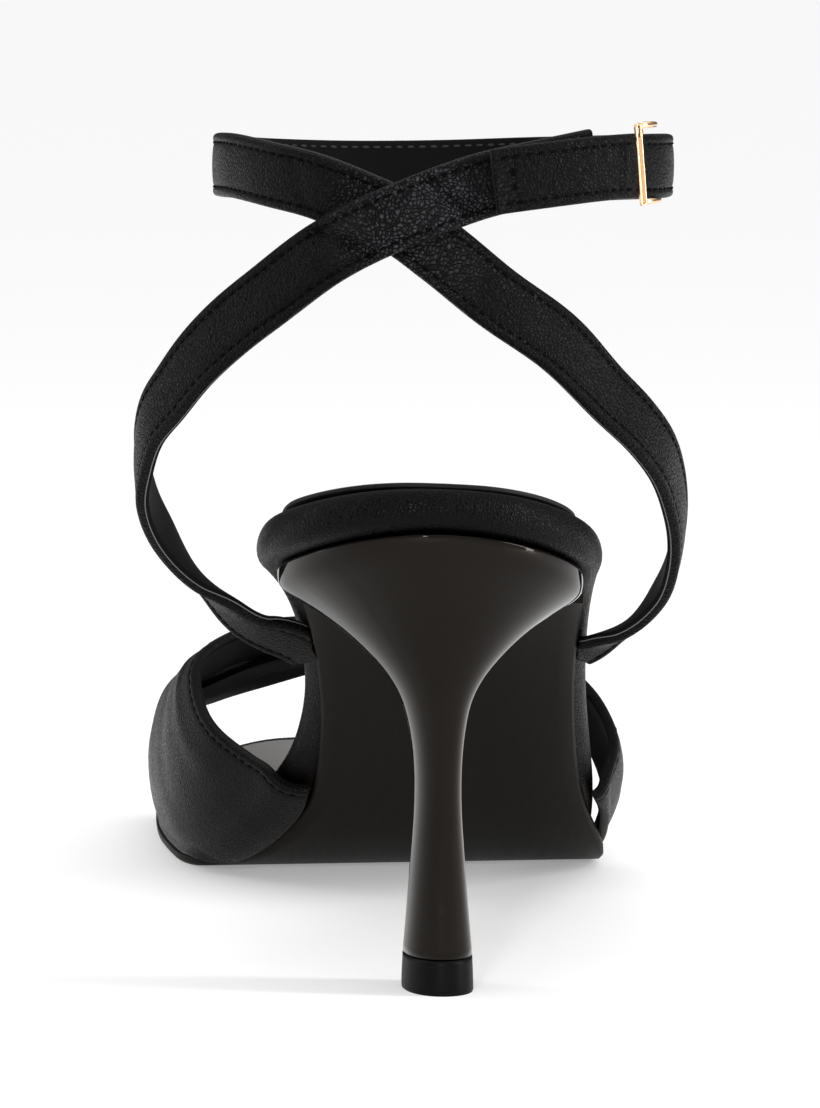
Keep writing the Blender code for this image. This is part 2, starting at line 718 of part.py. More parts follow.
def natural_curve(known, values, at):
    # Cubic through the points with tangents from both neighbours
    tangent = np.gradient(values, known)
    step = np.diff(known)
    k = np.clip(np.searchsorted(known, at, side="right") - 1, 0, len(step) - 1)
    t = (at - known[k]) / step[k]
    return ((1 + 2 * t) * (1 - t) ** 2 * values[k] + t * (1 - t) ** 2 * step[k] * tangent[k]
            + t * t * (3 - 2 * t) * values[k + 1] + t * t * (t - 1) * step[k] * tangent[k + 1])


def forefoot_grid():
    stations = np.linspace(station(CROWN_ROWS[0][0]), SOLE_LENGTH - BACK_REACH, 86)
    table = []
    for y in stations:
        share, x, z = forefoot_section(y)
        fine = np.linspace(0, 1, GRID_STEPS + 1)
        row = [np.interp(fine, share, x), np.full(len(fine), y), np.interp(fine, share, z)]
        table.append(np.stack(row, 1))
    return stations, np.array(table)


def on_forefoot(grid, round_share, y):
    stations, table = grid
    row = np.clip(np.interp(y, stations, np.arange(len(stations))), 0, len(stations) - 1.001)
    col = min(max(round_share, 0), 1) * GRID_STEPS
    r = int(row)
    c = min(int(col), GRID_STEPS - 1)
    u = row - r
    v = col - c
    return ((1 - u) * (1 - v) * table[r, c] + (1 - u) * v * table[r, c + 1]
            + u * (1 - v) * table[r + 1, c] + u * v * table[r + 1, c + 1])


def make_band(name, columns, rows, grid, lift, group, across=3, count=24):
    known = column(columns, rows, "round")
    rear = column(columns, rows, "rear")
    front = column(columns, rows, "front")
    flat = np.linspace(-BAND_FLAT, BAND_FLAT, across + 1)
    crown = 1 + BAND_CROWN * (1 - (flat / BAND_FLAT) ** 2)
    profile = [(-1.0, 0.5), (-0.98, 0.12)] + [(v, 0.0) for v in flat]
    profile += [(0.98, 0.12), (1.0, 0.5), (0.98, 0.88)]
    profile += list(zip(flat, crown))[::-1] + [(-0.98, 0.88)]
    rings = []
    ends = np.array(BAND_END_SHARES)
    for s in np.concatenate([ends, np.linspace(0.108, 0.892, count), 1 - ends[::-1]]):
        a = station(float(smooth(known, rear, s)))
        b = station(float(smooth(known, front, s)))
        ring = []
        for t, w in profile:
            y = 0.5 * (a + b) + 0.5 * t * (b - a)
            p = on_forefoot(grid, s, y)
            du = on_forefoot(grid, min(s + 0.004, 1), y) - on_forefoot(grid, max(s - 0.004, 0), y)
            dv = on_forefoot(grid, s, y + 1 * MM) - on_forefoot(grid, s, y - 1 * MM)
            n = np.cross(du, dv)
            n = n / np.linalg.norm(n)
            raise_by = lift * min(1.0, max(0.0, math.sin(math.pi * s) * 1.6 - 0.35))
            ring.append(p + n * (w * BAND_WALL + raise_by))
        rings.append(np.array(ring))
    return fix_outward(rings_solid(name, rings, None, group, True))


def join(target, other, operation):
    tool = target.modifiers.new(operation.lower(), "BOOLEAN")
    tool.operation = operation
    tool.solver = "EXACT"
    tool.object = other
    other.hide_render = True
    other.display_type = "WIRE"


def keep_main_body(item):
    # Keeps the main body of a cut or joined piece
    graph = bpy.context.evaluated_depsgraph_get()
    mesh = bpy.data.meshes.new_from_object(item.evaluated_get(graph))
    item.modifiers.clear()
    item.data = mesh
    work = bmesh.new()
    work.from_mesh(mesh)
    bmesh.ops.triangulate(work, faces=work.faces)
    bmesh.ops.remove_doubles(work, verts=work.verts, dist=0.00001)
    bmesh.ops.dissolve_degenerate(work, edges=work.edges, dist=0.000005)
    left = set(work.faces)
    bodies = []
    while left:
        front = [left.pop()]
        body = list(front)
        while front:
            face = front.pop()
            for edge in [edge for edge in face.edges if len(edge.link_faces) == 2]:
                for other in edge.link_faces:
                    if other in left:
                        left.discard(other)
                        front.append(other)
                        body.append(other)
        bodies.append(body)
    bodies.sort(key=len, reverse=True)
    crumbs = [face for body in bodies[1:] for face in body]
    bmesh.ops.delete(work, geom=crumbs, context="FACES")
    bmesh.ops.triangulate(work, faces=work.faces)
    work.to_mesh(mesh)
    work.free()
    return item


def strap_frames(columns, rows, count, extra_out):
    x = column(columns, rows, "x") * LOOP_WIDTH
    y = column(columns, rows, "y") * LOOP_WIDTH
    z = column(columns, rows, "z") * HEEL_HEIGHT
    heading = np.radians(column(columns, rows, "heading"))
    dip = np.radians(column(columns, rows, "dip"))
    path = np.stack([x, y, z], 1)
    reach = np.concatenate([[0], np.cumsum(np.linalg.norm(np.diff(path, axis=0), axis=1))])
    reach = reach / reach[-1]
    at = np.linspace(0, 1, count)
    spots = np.stack([natural_curve(reach, path[:, i], at) for i in range(3)], 1)
    heading = natural_curve(reach, heading, at)
    dip = natural_curve(reach, dip, at)
    frames = []
    for i in range(count):
        tangent = spots[min(i + 1, count - 1)] - spots[max(i - 1, 0)]
        tangent = tangent / np.linalg.norm(tangent)
        level = np.array([math.sin(heading[i]), -math.cos(heading[i]), 0.0]) * math.cos(dip[i])
        normal = level - np.array([0.0, 0.0, math.sin(dip[i])])
        normal = normal - tangent * np.dot(normal, tangent)
        normal = normal / np.linalg.norm(normal)
        frames.append((spots[i] + normal * extra_out(at[i]), tangent, normal, np.cross(tangent, normal)))
    return at, frames


def strap_ring(centre, across, normal, width, wall):
    return np.array([centre + across * 0.5 * width * t + normal * wall * w for t, w in STRAP_SECTION])


def make_strap(name, columns, rows, count, material, group, extra_out, width, wall):
    at, frames = strap_frames(columns, rows, count, extra_out)
    rings = [strap_ring(centre, across, normal, width, wall) for centre, tangent, normal, across in frames]
    return fix_outward(rings_solid(name, rings, material, group, True))


def rod_ring(centre, forward, up, radius, sides=10):
    side = np.cross(forward, up)
    ring = []
    for i in range(sides):
        angle = 2 * math.pi * i / sides
        ring.append(centre + radius * (math.cos(angle) * up + math.sin(angle) * side))
    return np.array(ring)


def unit(vector):
    return vector / np.linalg.norm(vector)


def make_rod(name, start, end, radius, group):
    forward = unit(end - start)
    up = unit(np.cross(forward, np.array([0.3, 0.8, 0.1])))
    ends = [rod_ring(start, forward, up, radius), rod_ring(end, forward, up, radius)]
    return fix_outward(rings_solid(name, ends, None, group))


def make_buckle(frames_at, material, group, tools):
    # Rounded frame round the strap: near side over its face, far side behind it
    clear = 0.5 * STRAP_WALL + PIECE_GAP + BUCKLE_ROD + BUCKLE_SLACK
    near, near_t, near_n, near_u = frames_at(BUCKLE_PLACES["near"])
    far, far_t, far_n, far_u = frames_at(BUCKLE_PLACES["far"])
    near = near + near_n * clear
    far = far - far_n * clear
    half = 0.5 * BUCKLE_HEIGHT - BUCKLE_ROD
    corners = [near - near_u * half, near + near_u * half, far + far_u * half, far - far_u * half]
    path = []
    for i in range(4):
        before, here, after = corners[i - 1], corners[i], corners[(i + 1) % 4]
        a = here + unit(before - here) * BUCKLE_TURN
        b = here + unit(after - here) * BUCKLE_TURN
        for s in (0.0, 0.33, 0.67, 1.0):
            path.append((1 - s) ** 2 * a + 2 * s * (1 - s) * here + s * s * b)
    plane = unit(np.cross(near - far, near_u))
    rings = []
    for i in range(len(path)):
        forward = unit(path[(i + 1) % len(path)] - path[i - 1])
        rings.append(rod_ring(path[i], forward, plane, BUCKLE_ROD))
    size = len(rings[0])
    faces = []
    for i in range(len(rings)):
        j = (i + 1) % len(rings)
        for k in range(size):
            m = (k + 1) % size
            faces.append((i * size + k, i * size + m, j * size + m, j * size + k))
    frame = fix_outward(build_object("buckle", np.concatenate(rings), faces, material, group))
    # A second rod beside the near one, with a thin plate between them that leaves a slot on top
    step = unit(unit(far - near) - 0.6 * near_t) * BUCKLE_PITCH + near_n * 0.06 * BUCKLE_PITCH
    rod_low = near + step - near_u * half
    rod_high = near + step + near_u * half
    second = make_rod("second_rod", rod_low, rod_high, BUCKLE_ROD * 0.9, tools)
    low = near + 0.5 * step - near_u * half
    high = near + 0.5 * step + near_u * (half - SLOT_LENGTH)
    thin = plane * 0.4 * BUCKLE_ROD
    wide = unit(step) * 0.53 * BUCKLE_PITCH
    corner_set = [low - thin - wide, low - thin + wide, low + thin + wide, low + thin - wide]
    rise = high - low
    plate_points = corner_set + [p + rise for p in corner_set]
    plate_faces = [(0, 1, 2, 3), (4, 7, 6, 5), (0, 4, 5, 1), (1, 5, 6, 2), (2, 6, 7, 3), (3, 7, 4, 0)]
    fill = fix_outward(build_object("rod_plate", plate_points, plate_faces, None, tools, shade=False))
    join(frame, second, "UNION")
    join(frame, fill, "UNION")
    return frame


def no_shift(share):
    return 0.0


def inner_shift(share):
    # Lifts the inner strap over the outer one where they cross
    away = (share - CROSSING_PLACE["middle"]) / CROSSING_PLACE["spread"]
    return CROSSING_LIFT * math.exp(-away ** 2)


wipe_scene()
sandal = make_collection("heeled_sandal")
cutters = make_collection("cutters")

grain = make_material("grained_leather", (0.012, 0.011, 0.011), 0.48)
satin = make_material("outsole_satin", (0.020, 0.014, 0.012), 0.42)
gloss = make_material("heel_gloss", (0.010, 0.009, 0.009), 0.10)
cap = make_material("tip_satin", (0.016, 0.014, 0.013), 0.45)
lining = make_material("lining", (0.10, 0.10, 0.10), 0.6)
gold = make_material("buckle_gold", (0.80, 0.52, 0.30), 0.22, 1.0)

outsole = make_outsole(satin, sandal)
footbed = make_footbed(grain, sandal)
sock = make_lining(lining, sandal)
heel = make_heel(gloss, sandal)
tip = make_tip(cap, sandal)

grid = forefoot_grid()
upper = make_band("upper", REAR_BAND_COLUMNS, REAR_BAND_ROWS, grid, BAND_LIFT, sandal, 10)
upper.data.materials.append(grain)
cross_band = make_band("cross_band", CROSS_BAND_COLUMNS, CROSS_BAND_ROWS, grid, 0.0, cutters)
toe_band = make_band("toe_band", TOE_BAND_COLUMNS, TOE_BAND_ROWS, grid, TOE_BAND_LIFT, cutters)
join(upper, cross_band, "UNION")
join(upper, toe_band, "UNION")

inner_strap = make_strap("inner_ankle_strap", INNER_STRAP_COLUMNS, INNER_STRAP_ROWS, 50,
                         grain, sandal, inner_shift, STRAP_WIDTH, STRAP_WALL)
outer_strap = make_strap("outer_ankle_strap", OUTER_STRAP_COLUMNS, OUTER_STRAP_ROWS, 72,
                         grain, sandal, no_shift, STRAP_WIDTH, STRAP_WALL)
tab = make_strap("buckle_strap", TAB_COLUMNS, TAB_ROWS, 13, grain, sandal, no_shift, TAB_WIDTH, TAB_WALL)
bed_cutter = make_footbed(None, cutters, "bed_cutter", PIECE_GAP)
sole_cutter = make_outsole(None, cutters, "sole_cutter", PIECE_GAP, CUT_DEPTH)
for strap in (inner_strap, outer_strap):
    join(strap, bed_cutter, "DIFFERENCE")
    join(strap, sole_cutter, "DIFFERENCE")

at, loop_frames = strap_frames(OUTER_STRAP_COLUMNS, OUTER_STRAP_ROWS, 401, no_shift)
buckle = make_buckle(lambda share: loop_frames[int(round(share * 400))], gold, sandal, cutters)
for item in (upper, inner_strap, outer_strap, buckle):
    keep_main_body(item)
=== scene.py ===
import math
import bmesh
import bpy
import numpy as np
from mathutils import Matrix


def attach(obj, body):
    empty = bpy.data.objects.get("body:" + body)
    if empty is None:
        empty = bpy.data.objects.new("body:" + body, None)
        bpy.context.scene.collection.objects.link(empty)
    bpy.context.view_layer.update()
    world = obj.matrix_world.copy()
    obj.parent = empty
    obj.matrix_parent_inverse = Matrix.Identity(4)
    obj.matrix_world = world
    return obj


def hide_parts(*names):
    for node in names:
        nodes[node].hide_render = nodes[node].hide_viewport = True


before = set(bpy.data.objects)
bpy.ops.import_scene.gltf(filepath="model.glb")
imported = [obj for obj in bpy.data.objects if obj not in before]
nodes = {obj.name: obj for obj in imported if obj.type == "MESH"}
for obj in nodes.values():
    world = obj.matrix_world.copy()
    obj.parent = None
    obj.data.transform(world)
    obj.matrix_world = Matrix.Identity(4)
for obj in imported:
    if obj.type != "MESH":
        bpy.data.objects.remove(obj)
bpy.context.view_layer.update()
mm = 0.001
print("packed sandal loaded")

# Named sizes shared by the straps and the footbed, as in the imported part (metres)
last = {
    "length": 232 * mm,
    "ball": 80 * mm,
    "heelHeight": 77 * mm,
    "back": 20.5 * mm,
    "bedThickness": 7.8 * mm,
    "loopWidth": 77.6 * mm,
}


class Wire:
    # wraps a socket so that sums of values read as plain expressions
    def __init__(self, paint, socket):
        self.paint = paint
        self.socket = socket

    def __add__(self, other):
        return self.paint.maths("ADD", self, other)

    def __radd__(self, other):
        return self.paint.maths("ADD", other, self)

    def __sub__(self, other):
        return self.paint.maths("SUBTRACT", self, other)

    def __rsub__(self, other):
        return self.paint.maths("SUBTRACT", other, self)

    def __mul__(self, other):
        return self.paint.maths("MULTIPLY", self, other)

    def __rmul__(self, other):
        return self.paint.maths("MULTIPLY", other, self)


def setStops(ramp, stops):
    # grey stops of a colour ramp: place, then shade
    while len(ramp.elements) < len(stops):
        ramp.elements.new(0.5)
    for element, (place, shade) in zip(ramp.elements, stops):
        element.position = place
        element.color = (shade, shade, shade, 1)


class Paint:
    # one material: its nodes are added with their settings first, then their sockets
    def __init__(self, name):
        self.material = bpy.data.materials.new(name)
        self.material.use_nodes = True
        self.tree = self.material.node_tree
        self.tree.nodes.clear()
        self.shader = self.add("ShaderNodeBsdfPrincipled")
        self.add("ShaderNodeOutputMaterial", {}, {"Surface": Wire(self, self.shader.outputs[0])})

    def add(self, kind, settings=None, sockets=None):
        node = self.tree.nodes.new(kind)
        for key, value in (settings or {}).items():
            if key == "stops":
                setStops(node.color_ramp, value)
            else:
                setattr(node, key, value)
        for key, value in (sockets or {}).items():
            if isinstance(value, Wire):
                self.tree.links.new(value.socket, node.inputs[key])
            else:
                node.inputs[key].default_value = value
        return node

    def out(self, node, key=0):
        return Wire(self, node.outputs[key])

    def maths(self, operation, a, b):
        return self.out(self.add("ShaderNodeMath", {"operation": operation}, {0: a, 1: b}))

    def place(self):
        # object coordinates in millimetres
        here = self.out(self.add("ShaderNodeTexCoord"), "Object")
        return self.stretch(here, (1000, 1000, 1000))

    def stretch(self, where, scale):
        return self.out(self.add("ShaderNodeMapping", {}, {"Vector": where, "Scale": scale}))

    def noise(self, where, scale, detail=3.0, rough=0.5):
        sockets = {"Vector": where, "Scale": scale, "Detail": detail, "Roughness": rough}
        return self.out(self.add("ShaderNodeTexNoise", {}, sockets), "Fac")

    def ramp(self, value, stops):
        return self.out(self.add("ShaderNodeValToRGB", {"stops": stops}, {"Fac": value}), "Color")

    def mix(self, factor, a, b):
        a, b = [end if isinstance(end, Wire) else tuple(end) + (1,) for end in (a, b)]
        return self.out(self.add("ShaderNodeMix", {"data_type": "RGBA"}, {"Factor": factor, 6: a, 7: b}), 2)

    def bump(self, height, strength, distance):
        sockets = {"Height": height, "Strength": strength, "Distance": distance}
        return self.out(self.add("ShaderNodeBump", {}, sockets))

    def set(self, **sockets):
        for key, value in sockets.items():
            name = key.replace("_", " ")
            if isinstance(value, Wire):
                self.tree.links.new(value.socket, self.shader.inputs[name])
            else:
                self.shader.inputs[name].default_value = value + (1,) if isinstance(value, tuple) else value
        return self.material


grainLook = {
    "pebble": 1.4,  # cells to the millimetre
    "deep": 0.25 * mm,
    "dark": (0.0006, 0.0006, 0.0008),
    "pale": (0.0024, 0.0024, 0.0029),
    "rough": (0.19, 0.5),
    "shine": 0.11,
    "sway": 0.9,  # how far the cells wander, in mm
    "paintedHighlight": (0.13, 0.13, 0.143),  # painted highlight on the pebble tops where the straps cross
    "paintedHighlightAt": (-4.5, -14.0, 129.0),  # mm
    "paintedHighlightReach": 17.0,
}


def grainedLeather(name, pebble=1.0, strength=0.8, paintedHighlight=False):
    # black leather with a fine pebble; its crevices are darker as painted shade and its tops paler, with random
    # tone, and a painted highlight on the tops where the straps cross
    p = Paint(name)
    here = p.place()
    sway = p.add("ShaderNodeTexNoise", {}, {"Vector": here, "Scale": 0.8, "Detail": 2.0})
    bent = p.add("ShaderNodeVectorMath", {"operation": "MULTIPLY_ADD"},
                 {0: p.out(sway, "Color"), 1: (grainLook["sway"],) * 3, 2: here})
    cell = p.add("ShaderNodeTexVoronoi", {"feature": "DISTANCE_TO_EDGE"},
                 {"Vector": p.out(bent), "Scale": grainLook["pebble"] * pebble, "Randomness": 0.9})
    fromEdge = p.out(cell, "Distance")
    cellTop = p.ramp(fromEdge, ((0.0, 0.0), (0.16, 0.6), (0.5, 1.0)))
    fine = p.noise(here, 4.2, 3.0, 0.6)
    patch = p.noise(here, 0.11, 2.0)
    height = cellTop * (0.45 + 0.7 * patch) + 0.25 * fine
    smoothest, roughest = grainLook["rough"]
    tops = grainLook["pale"]
    # painted highlight: the pebble tops near the straps' crossing are made paler, fading with distance
    if paintedHighlight:
        away = p.add("ShaderNodeVectorMath", {"operation": "DISTANCE"}, {0: here, 1: grainLook["paintedHighlightAt"]})
        reach = p.out(away, "Value") * (1 / grainLook["paintedHighlightReach"])
        near = p.ramp(reach, ((0.0, 1.0), (0.45, 0.8), (1.0, 0.0)))
        wide = p.ramp(fromEdge, ((0.06, 0.0), (0.3, 0.8), (0.5, 1.0)))
        highlightMask = near * wide * (0.3 + 1.2 * patch) * (0.25 + 1.3 * fine)
        tops = p.mix(highlightMask, grainLook["pale"], grainLook["paintedHighlight"])
    return p.set(
        # base colour: painted shade darkens the crevices, the pebble tops stay paler, and fine noise varies the
        # tone at random
        Base_Color=p.mix(cellTop * fine, grainLook["dark"], tops),
        Roughness=roughest - (roughest - smoothest) * cellTop * (0.5 + 0.7 * patch),
        Normal=p.bump(height, strength, grainLook["deep"]),
        Specular_IOR_Level=grainLook["shine"],
        IOR=1.4,
    )


def smoothSole(name):
    # satin dark brown leather under the sole, with faint buffing along its length
    p = Paint(name)
    here = p.place()
    streak = p.noise(p.stretch(here, (0.9, 0.05, 0.05)), 1.4, 4.0, 0.6)
    cloud = p.noise(here, 0.03, 3.0, 0.55)
    return p.set(
        Base_Color=p.mix(cloud, (0.0026, 0.0021, 0.0017), (0.005, 0.0041, 0.0034)),
        Roughness=0.36 + 0.1 * streak + 0.1 * cloud,
        Normal=p.bump(streak + 0.5 * p.noise(here, 2.2, 2.0), 0.12, 0.05 * mm),
        Specular_IOR_Level=0.1,
        Specular_Tint=(1.0, 0.92, 0.83),
        IOR=1.33,
    )


def heelGloss(name):
    # lacquered heel: a hard gloss with a very slight orange peel
    p = Paint(name)
    here = p.place()
    cloud = p.noise(here, 0.05, 2.0)
    return p.set(
        Base_Color=p.mix(cloud, (0.0042, 0.0035, 0.0031), (0.0078, 0.0066, 0.0059)),
        Roughness=0.03 + 0.04 * cloud,
        Normal=p.bump(p.noise(here, 0.16, 2.0), 0.12, 0.3 * mm),
        Specular_IOR_Level=0.33,
        Specular_Tint=(1.0, 0.9, 0.8),
        IOR=1.27,
    )


def tipSatin(name):
    # dense top piece, slightly scuffed
    p = Paint(name)
    fine = p.noise(p.place(), 1.8, 4.0, 0.65)
    return p.set(
        Base_Color=p.mix(fine, (0.0025, 0.0023, 0.0023), (0.005, 0.0047, 0.0047)),
        Roughness=0.34 + 0.16 * fine,
        Normal=p.bump(fine, 0.2, 0.06 * mm),
        Specular_IOR_Level=0.15,
        IOR=1.3,
    )


def liningLook(name, low, high, rough=0.62, shine=0.25, rim=None):
    # smooth lining leather between two shades, with fine pores
    p = Paint(name)
    here = p.place()
    fine = p.noise(here, 1.6, 4.0, 0.6)
    cloud = p.noise(here, 0.06, 2.0)
    pore = p.add("ShaderNodeTexVoronoi", {"feature": "F1"}, {"Vector": here, "Scale": 1.5})
    tint = p.mix(cloud * 0.6 + 0.4 * fine, low, high)
    if rim:
        # the folded rim is dark, the flat top keeps the lining's colour
        normal = p.out(p.add("ShaderNodeTexCoord"), "Normal")
        facing = p.add("ShaderNodeSeparateXYZ", {}, {"Vector": normal})
        tint = p.mix(p.ramp(p.out(facing, "Z"), ((0.6, 0.0), (0.9, 1.0))), rim, tint)
    return p.set(
        Base_Color=tint,
        Roughness=rough + 0.12 * fine,
        Normal=p.bump(p.out(pore, "Distance") + fine, 0.35, 0.06 * mm),
        Specular_IOR_Level=shine,
    )


def threadLook(name):
    # waxed black thread with its twist
    p = Paint(name)
    wave = p.add("ShaderNodeTexWave", {"bands_direction": "DIAGONAL"},
                 {"Vector": p.place(), "Scale": 1.1, "Distortion": 0.6})
    twist = p.out(wave, "Fac")
    return p.set(
        Base_Color=p.mix(twist, (0.0008, 0.0008, 0.0009), (0.003, 0.003, 0.0032)),
        Roughness=0.6 + 0.2 * twist,
        Normal=p.bump(twist, 0.5, 0.06 * mm),
        Specular_IOR_Level=0.03,
    )


def goldLook(name):
    # polished plating with fine upright scuffs
    p = Paint(name)
    here = p.place()
    cloud = p.noise(here, 0.3, 2.0)
    scuff = p.noise(p.stretch(here, (3.0, 3.0, 0.3)), 2.5, 3.0)
    return p.set(
        Base_Color=p.mix(cloud, (0.86, 0.56, 0.32), (0.93, 0.66, 0.42)),
        Metallic=1.0,
        Roughness=0.16 + 0.12 * scuff,
        Normal=p.bump(scuff, 0.06, 0.03 * mm),
    )


def edgeInk(name):
    # painted cut edge of the straps
    p = Paint(name)
    fine = p.noise(p.place(), 2.4, 4.0, 0.65)
    return p.set(
        Base_Color=p.mix(fine, (0.004, 0.004, 0.004), (0.011, 0.0105, 0.0105)),
        Roughness=0.5 + 0.25 * fine,
        Normal=p.bump(fine, 0.5, 0.1 * mm),
        IOR=1.35,
    )


# the ankle straps' leather carries the painted highlight where they cross
leather = grainedLeather("grainedLeather", paintedHighlight=True)
bandLeather = grainedLeather("bandLeather", 1.1, 0.35)
bedLeather = grainedLeather("footbedLeather", 1.1, 0.5)
solePaint = smoothSole("outsoleSatin")
gloss = heelGloss("heelGloss")
tipPaint = tipSatin("heelTipSatin")
strapLining = liningLook("strapLining", (0.0015, 0.0015, 0.0017), (0.004, 0.004, 0.0043), shine=0.07)
# painted highlight: a pale grey strip standing for light caught along the straps' lining edge
liningEdgeHighlight = liningLook("liningEdgeHighlight", (0.09, 0.09, 0.09), (0.16, 0.16, 0.16), 0.5)
sockLining = liningLook("sockLining", (0.1, 0.098, 0.095), (0.147, 0.144, 0.141), 0.55,
                        rim=(0.003, 0.003, 0.003))
thread = threadLook("stitchThread")
greyThread = liningLook("greyThread", (0.012, 0.012, 0.013), (0.026, 0.026, 0.028))
gold = goldLook("roseGold")
tanPlate = liningLook("buckleTan", (0.36, 0.2, 0.085), (0.5, 0.3, 0.15), 0.35)
inkedEdge = edgeInk("strapEdgeInk")
print("materials made")


def hermite(known, values, tangent, at):
    step = np.diff(known)
    k = np.clip(np.searchsorted(known, at, side="right") - 1, 0, len(step) - 1)
    t = (at - known[k]) / step[k]
    return ((1 + 2 * t) * (1 - t) ** 2 * values[k] + t * (1 - t) ** 2 * step[k] * tangent[k]
            + t * t * (3 - 2 * t) * values[k + 1] + t * t * (t - 1) * step[k] * tangent[k + 1])


def throughRows(known, values, at):
    # smooth curve through a few stations
    return hermite(known, values, np.gradient(values, known), at)


def levelRows(known, values, at):
    # the same without overshoot
    at = np.clip(np.asarray(at, dtype=float), known[0], known[-1])
    step = np.diff(known)
    slope = np.diff(values) / step
    tangent = np.concatenate([[slope[0]], np.zeros(len(known) - 2), [slope[-1]]])
    for i in range(1, len(known) - 1):
        if slope[i - 1] * slope[i] > 0:
            first = 2 * step[i] + step[i - 1]
            second = step[i] + 2 * step[i - 1]
            tangent[i] = (first + second) / (first / slope[i - 1] + second / slope[i])
    return hermite(known, values, tangent, at)


def rowValue(table, name, at):
    rows = np.array(table["rows"], dtype=float)
    return levelRows(rows[:, 0], rows[:, table["columns"].index(name)], at)


def unit(v):
    return v / np.maximum(np.linalg.norm(v, axis=-1, keepdims=True), 1e-12)


def arcLength(path):
    return np.concatenate([[0], np.cumsum(np.linalg.norm(np.diff(path, axis=0), axis=1))])


def makePiece(name, points, faces, materials, slots=None):
    mesh = bpy.data.meshes.new(name)
    mesh.from_pydata(np.asarray(points, dtype=float).tolist(), [], faces)
    for material in materials:
        mesh.materials.append(material)
    if slots is not None:
        mesh.polygons.foreach_set("material_index", slots)
    mesh.polygons.foreach_set("use_smooth", [True] * len(mesh.polygons))
    mesh.update()
    piece = bpy.data.objects.new(name, mesh)
    bpy.context.scene.collection.objects.link(piece)
    return piece


def pointOutwards(piece):
    work = bmesh.new()
    work.from_mesh(piece.data)
    volume = work.calc_volume(signed=True)
    if volume < 0:
        bmesh.ops.reverse_faces(work, faces=work.faces)
        work.to_mesh(piece.data)
    work.free()
    return piece


def sweepPiece(name, rings, materials, slotOf):
    # rings (count, size, 3) to a closed piece; slotOf gives each strip's material slot
    count, size = rings.shape[:2]
    faces = []
    slots = []
    for i in range(count - 1):
        for j in range(size):
            k = (j + 1) % size
            faces.append((i * size + j, i * size + k, (i + 1) * size + k, (i + 1) * size + j))
            slots.append(slotOf[j])
    for base, flip in ((0, True), ((count - 1) * size, False)):
        for j in range(size // 2 - 1):
            quad = [base + j, base + j + 1, base + size - 2 - j, base + size - 1 - j]
            if quad[1] == quad[2]:
                quad = quad[:2] + quad[3:]
            faces.append(tuple(quad[::-1] if flip else quad))
            slots.append(2)
    return pointOutwards(makePiece(name, rings.reshape(-1, 3), faces, materials, slots))


def refine(piece, levels=1, crease=None, sharp=1.0):
    # one smoothing, with the edges sharper than crease (radians) held
    if crease is not None:
        work = bmesh.new()
        work.from_mesh(piece.data)
        layer = work.edges.layers.float.get("crease_edge") or work.edges.layers.float.new("crease_edge")
        for edge in work.edges:
            if len(edge.link_faces) == 2 and edge.calc_face_angle(0) > crease:
                edge[layer] = sharp
        work.to_mesh(piece.data)
        work.free()
    soft = piece.modifiers.new("smoothed", "SUBSURF")
    soft.levels = levels
    soft.render_levels = levels
    return settle(piece)


def settle(piece):
    # the evaluated shape becomes the piece's own mesh
    graph = bpy.context.evaluated_depsgraph_get()
    mesh = bpy.data.meshes.new_from_object(piece.evaluated_get(graph))
    piece.modifiers.clear()
    piece.data = mesh
    return piece


# The last under the forefoot straps, in shares of its named sizes
bedTable = {
    "columns": ("along", "underside", "thickness", "inside", "outside", "underRound"),
    "rows": (
        (0, 1.0156, 1, 0.3575, 0.35, 0.4615),
        (0.2091, 0.874, 0.9872, 0.3375, 0.3775, 0.5128),
        (0.3470, 0.613, 0.8718, 0.215, 0.4125, 0.7179),
        (0.4116, 0.4623, 0.8077, 0.1913, 0.4375, 0.7436),
        (0.4677, 0.3312, 0.7564, 0.2025, 0.4688, 0.7179),
        (0.5108, 0.2338, 0.7179, 0.2425, 0.4925, 0.6667),
        (0.5625, 0.1273, 0.6795, 0.3075, 0.51, 0.5385),
        (0.597, 0.0727, 0.6538, 0.345, 0.515, 0.4359),
        (0.6315, 0.0377, 0.641, 0.3712, 0.5162, 0.3333),
        (0.6616, 0.0273, 0.6282, 0.385, 0.5138, 0.2821),
        (0.7349, 0.0273, 0.6026, 0.4025, 0.495, 0.2564),
        (0.7996, 0.0273, 0.5897, 0.4075, 0.455, 0.2564),
        (0.8642, 0.0481, 0.5769, 0.405, 0.3975, 0.2564),
        (0.9289, 0.087, 0.5641, 0.3875, 0.3375, 0.2564),
        (1, 0.1416, 0.5385, 0.3625, 0.3, 0.2564),
    ),
}

soleTable = {
    "columns": ("along", "inside", "outside"),
    "rows": (
        (0.4332, 0.1525, 0.415), (0.4763, 0.15, 0.4375), (0.5108, 0.1562, 0.4625),
        (0.5496, 0.2, 0.5025), (0.597, 0.2812, 0.5475), (0.6315, 0.3625, 0.5575),
        (0.6703, 0.4162, 0.5525), (0.7349, 0.435, 0.525), (0.7996, 0.4437, 0.485),
        (0.8642, 0.4412, 0.4275), (0.9289, 0.4188, 0.365), (1.0065, 0.3875, 0.325),
    ),
}

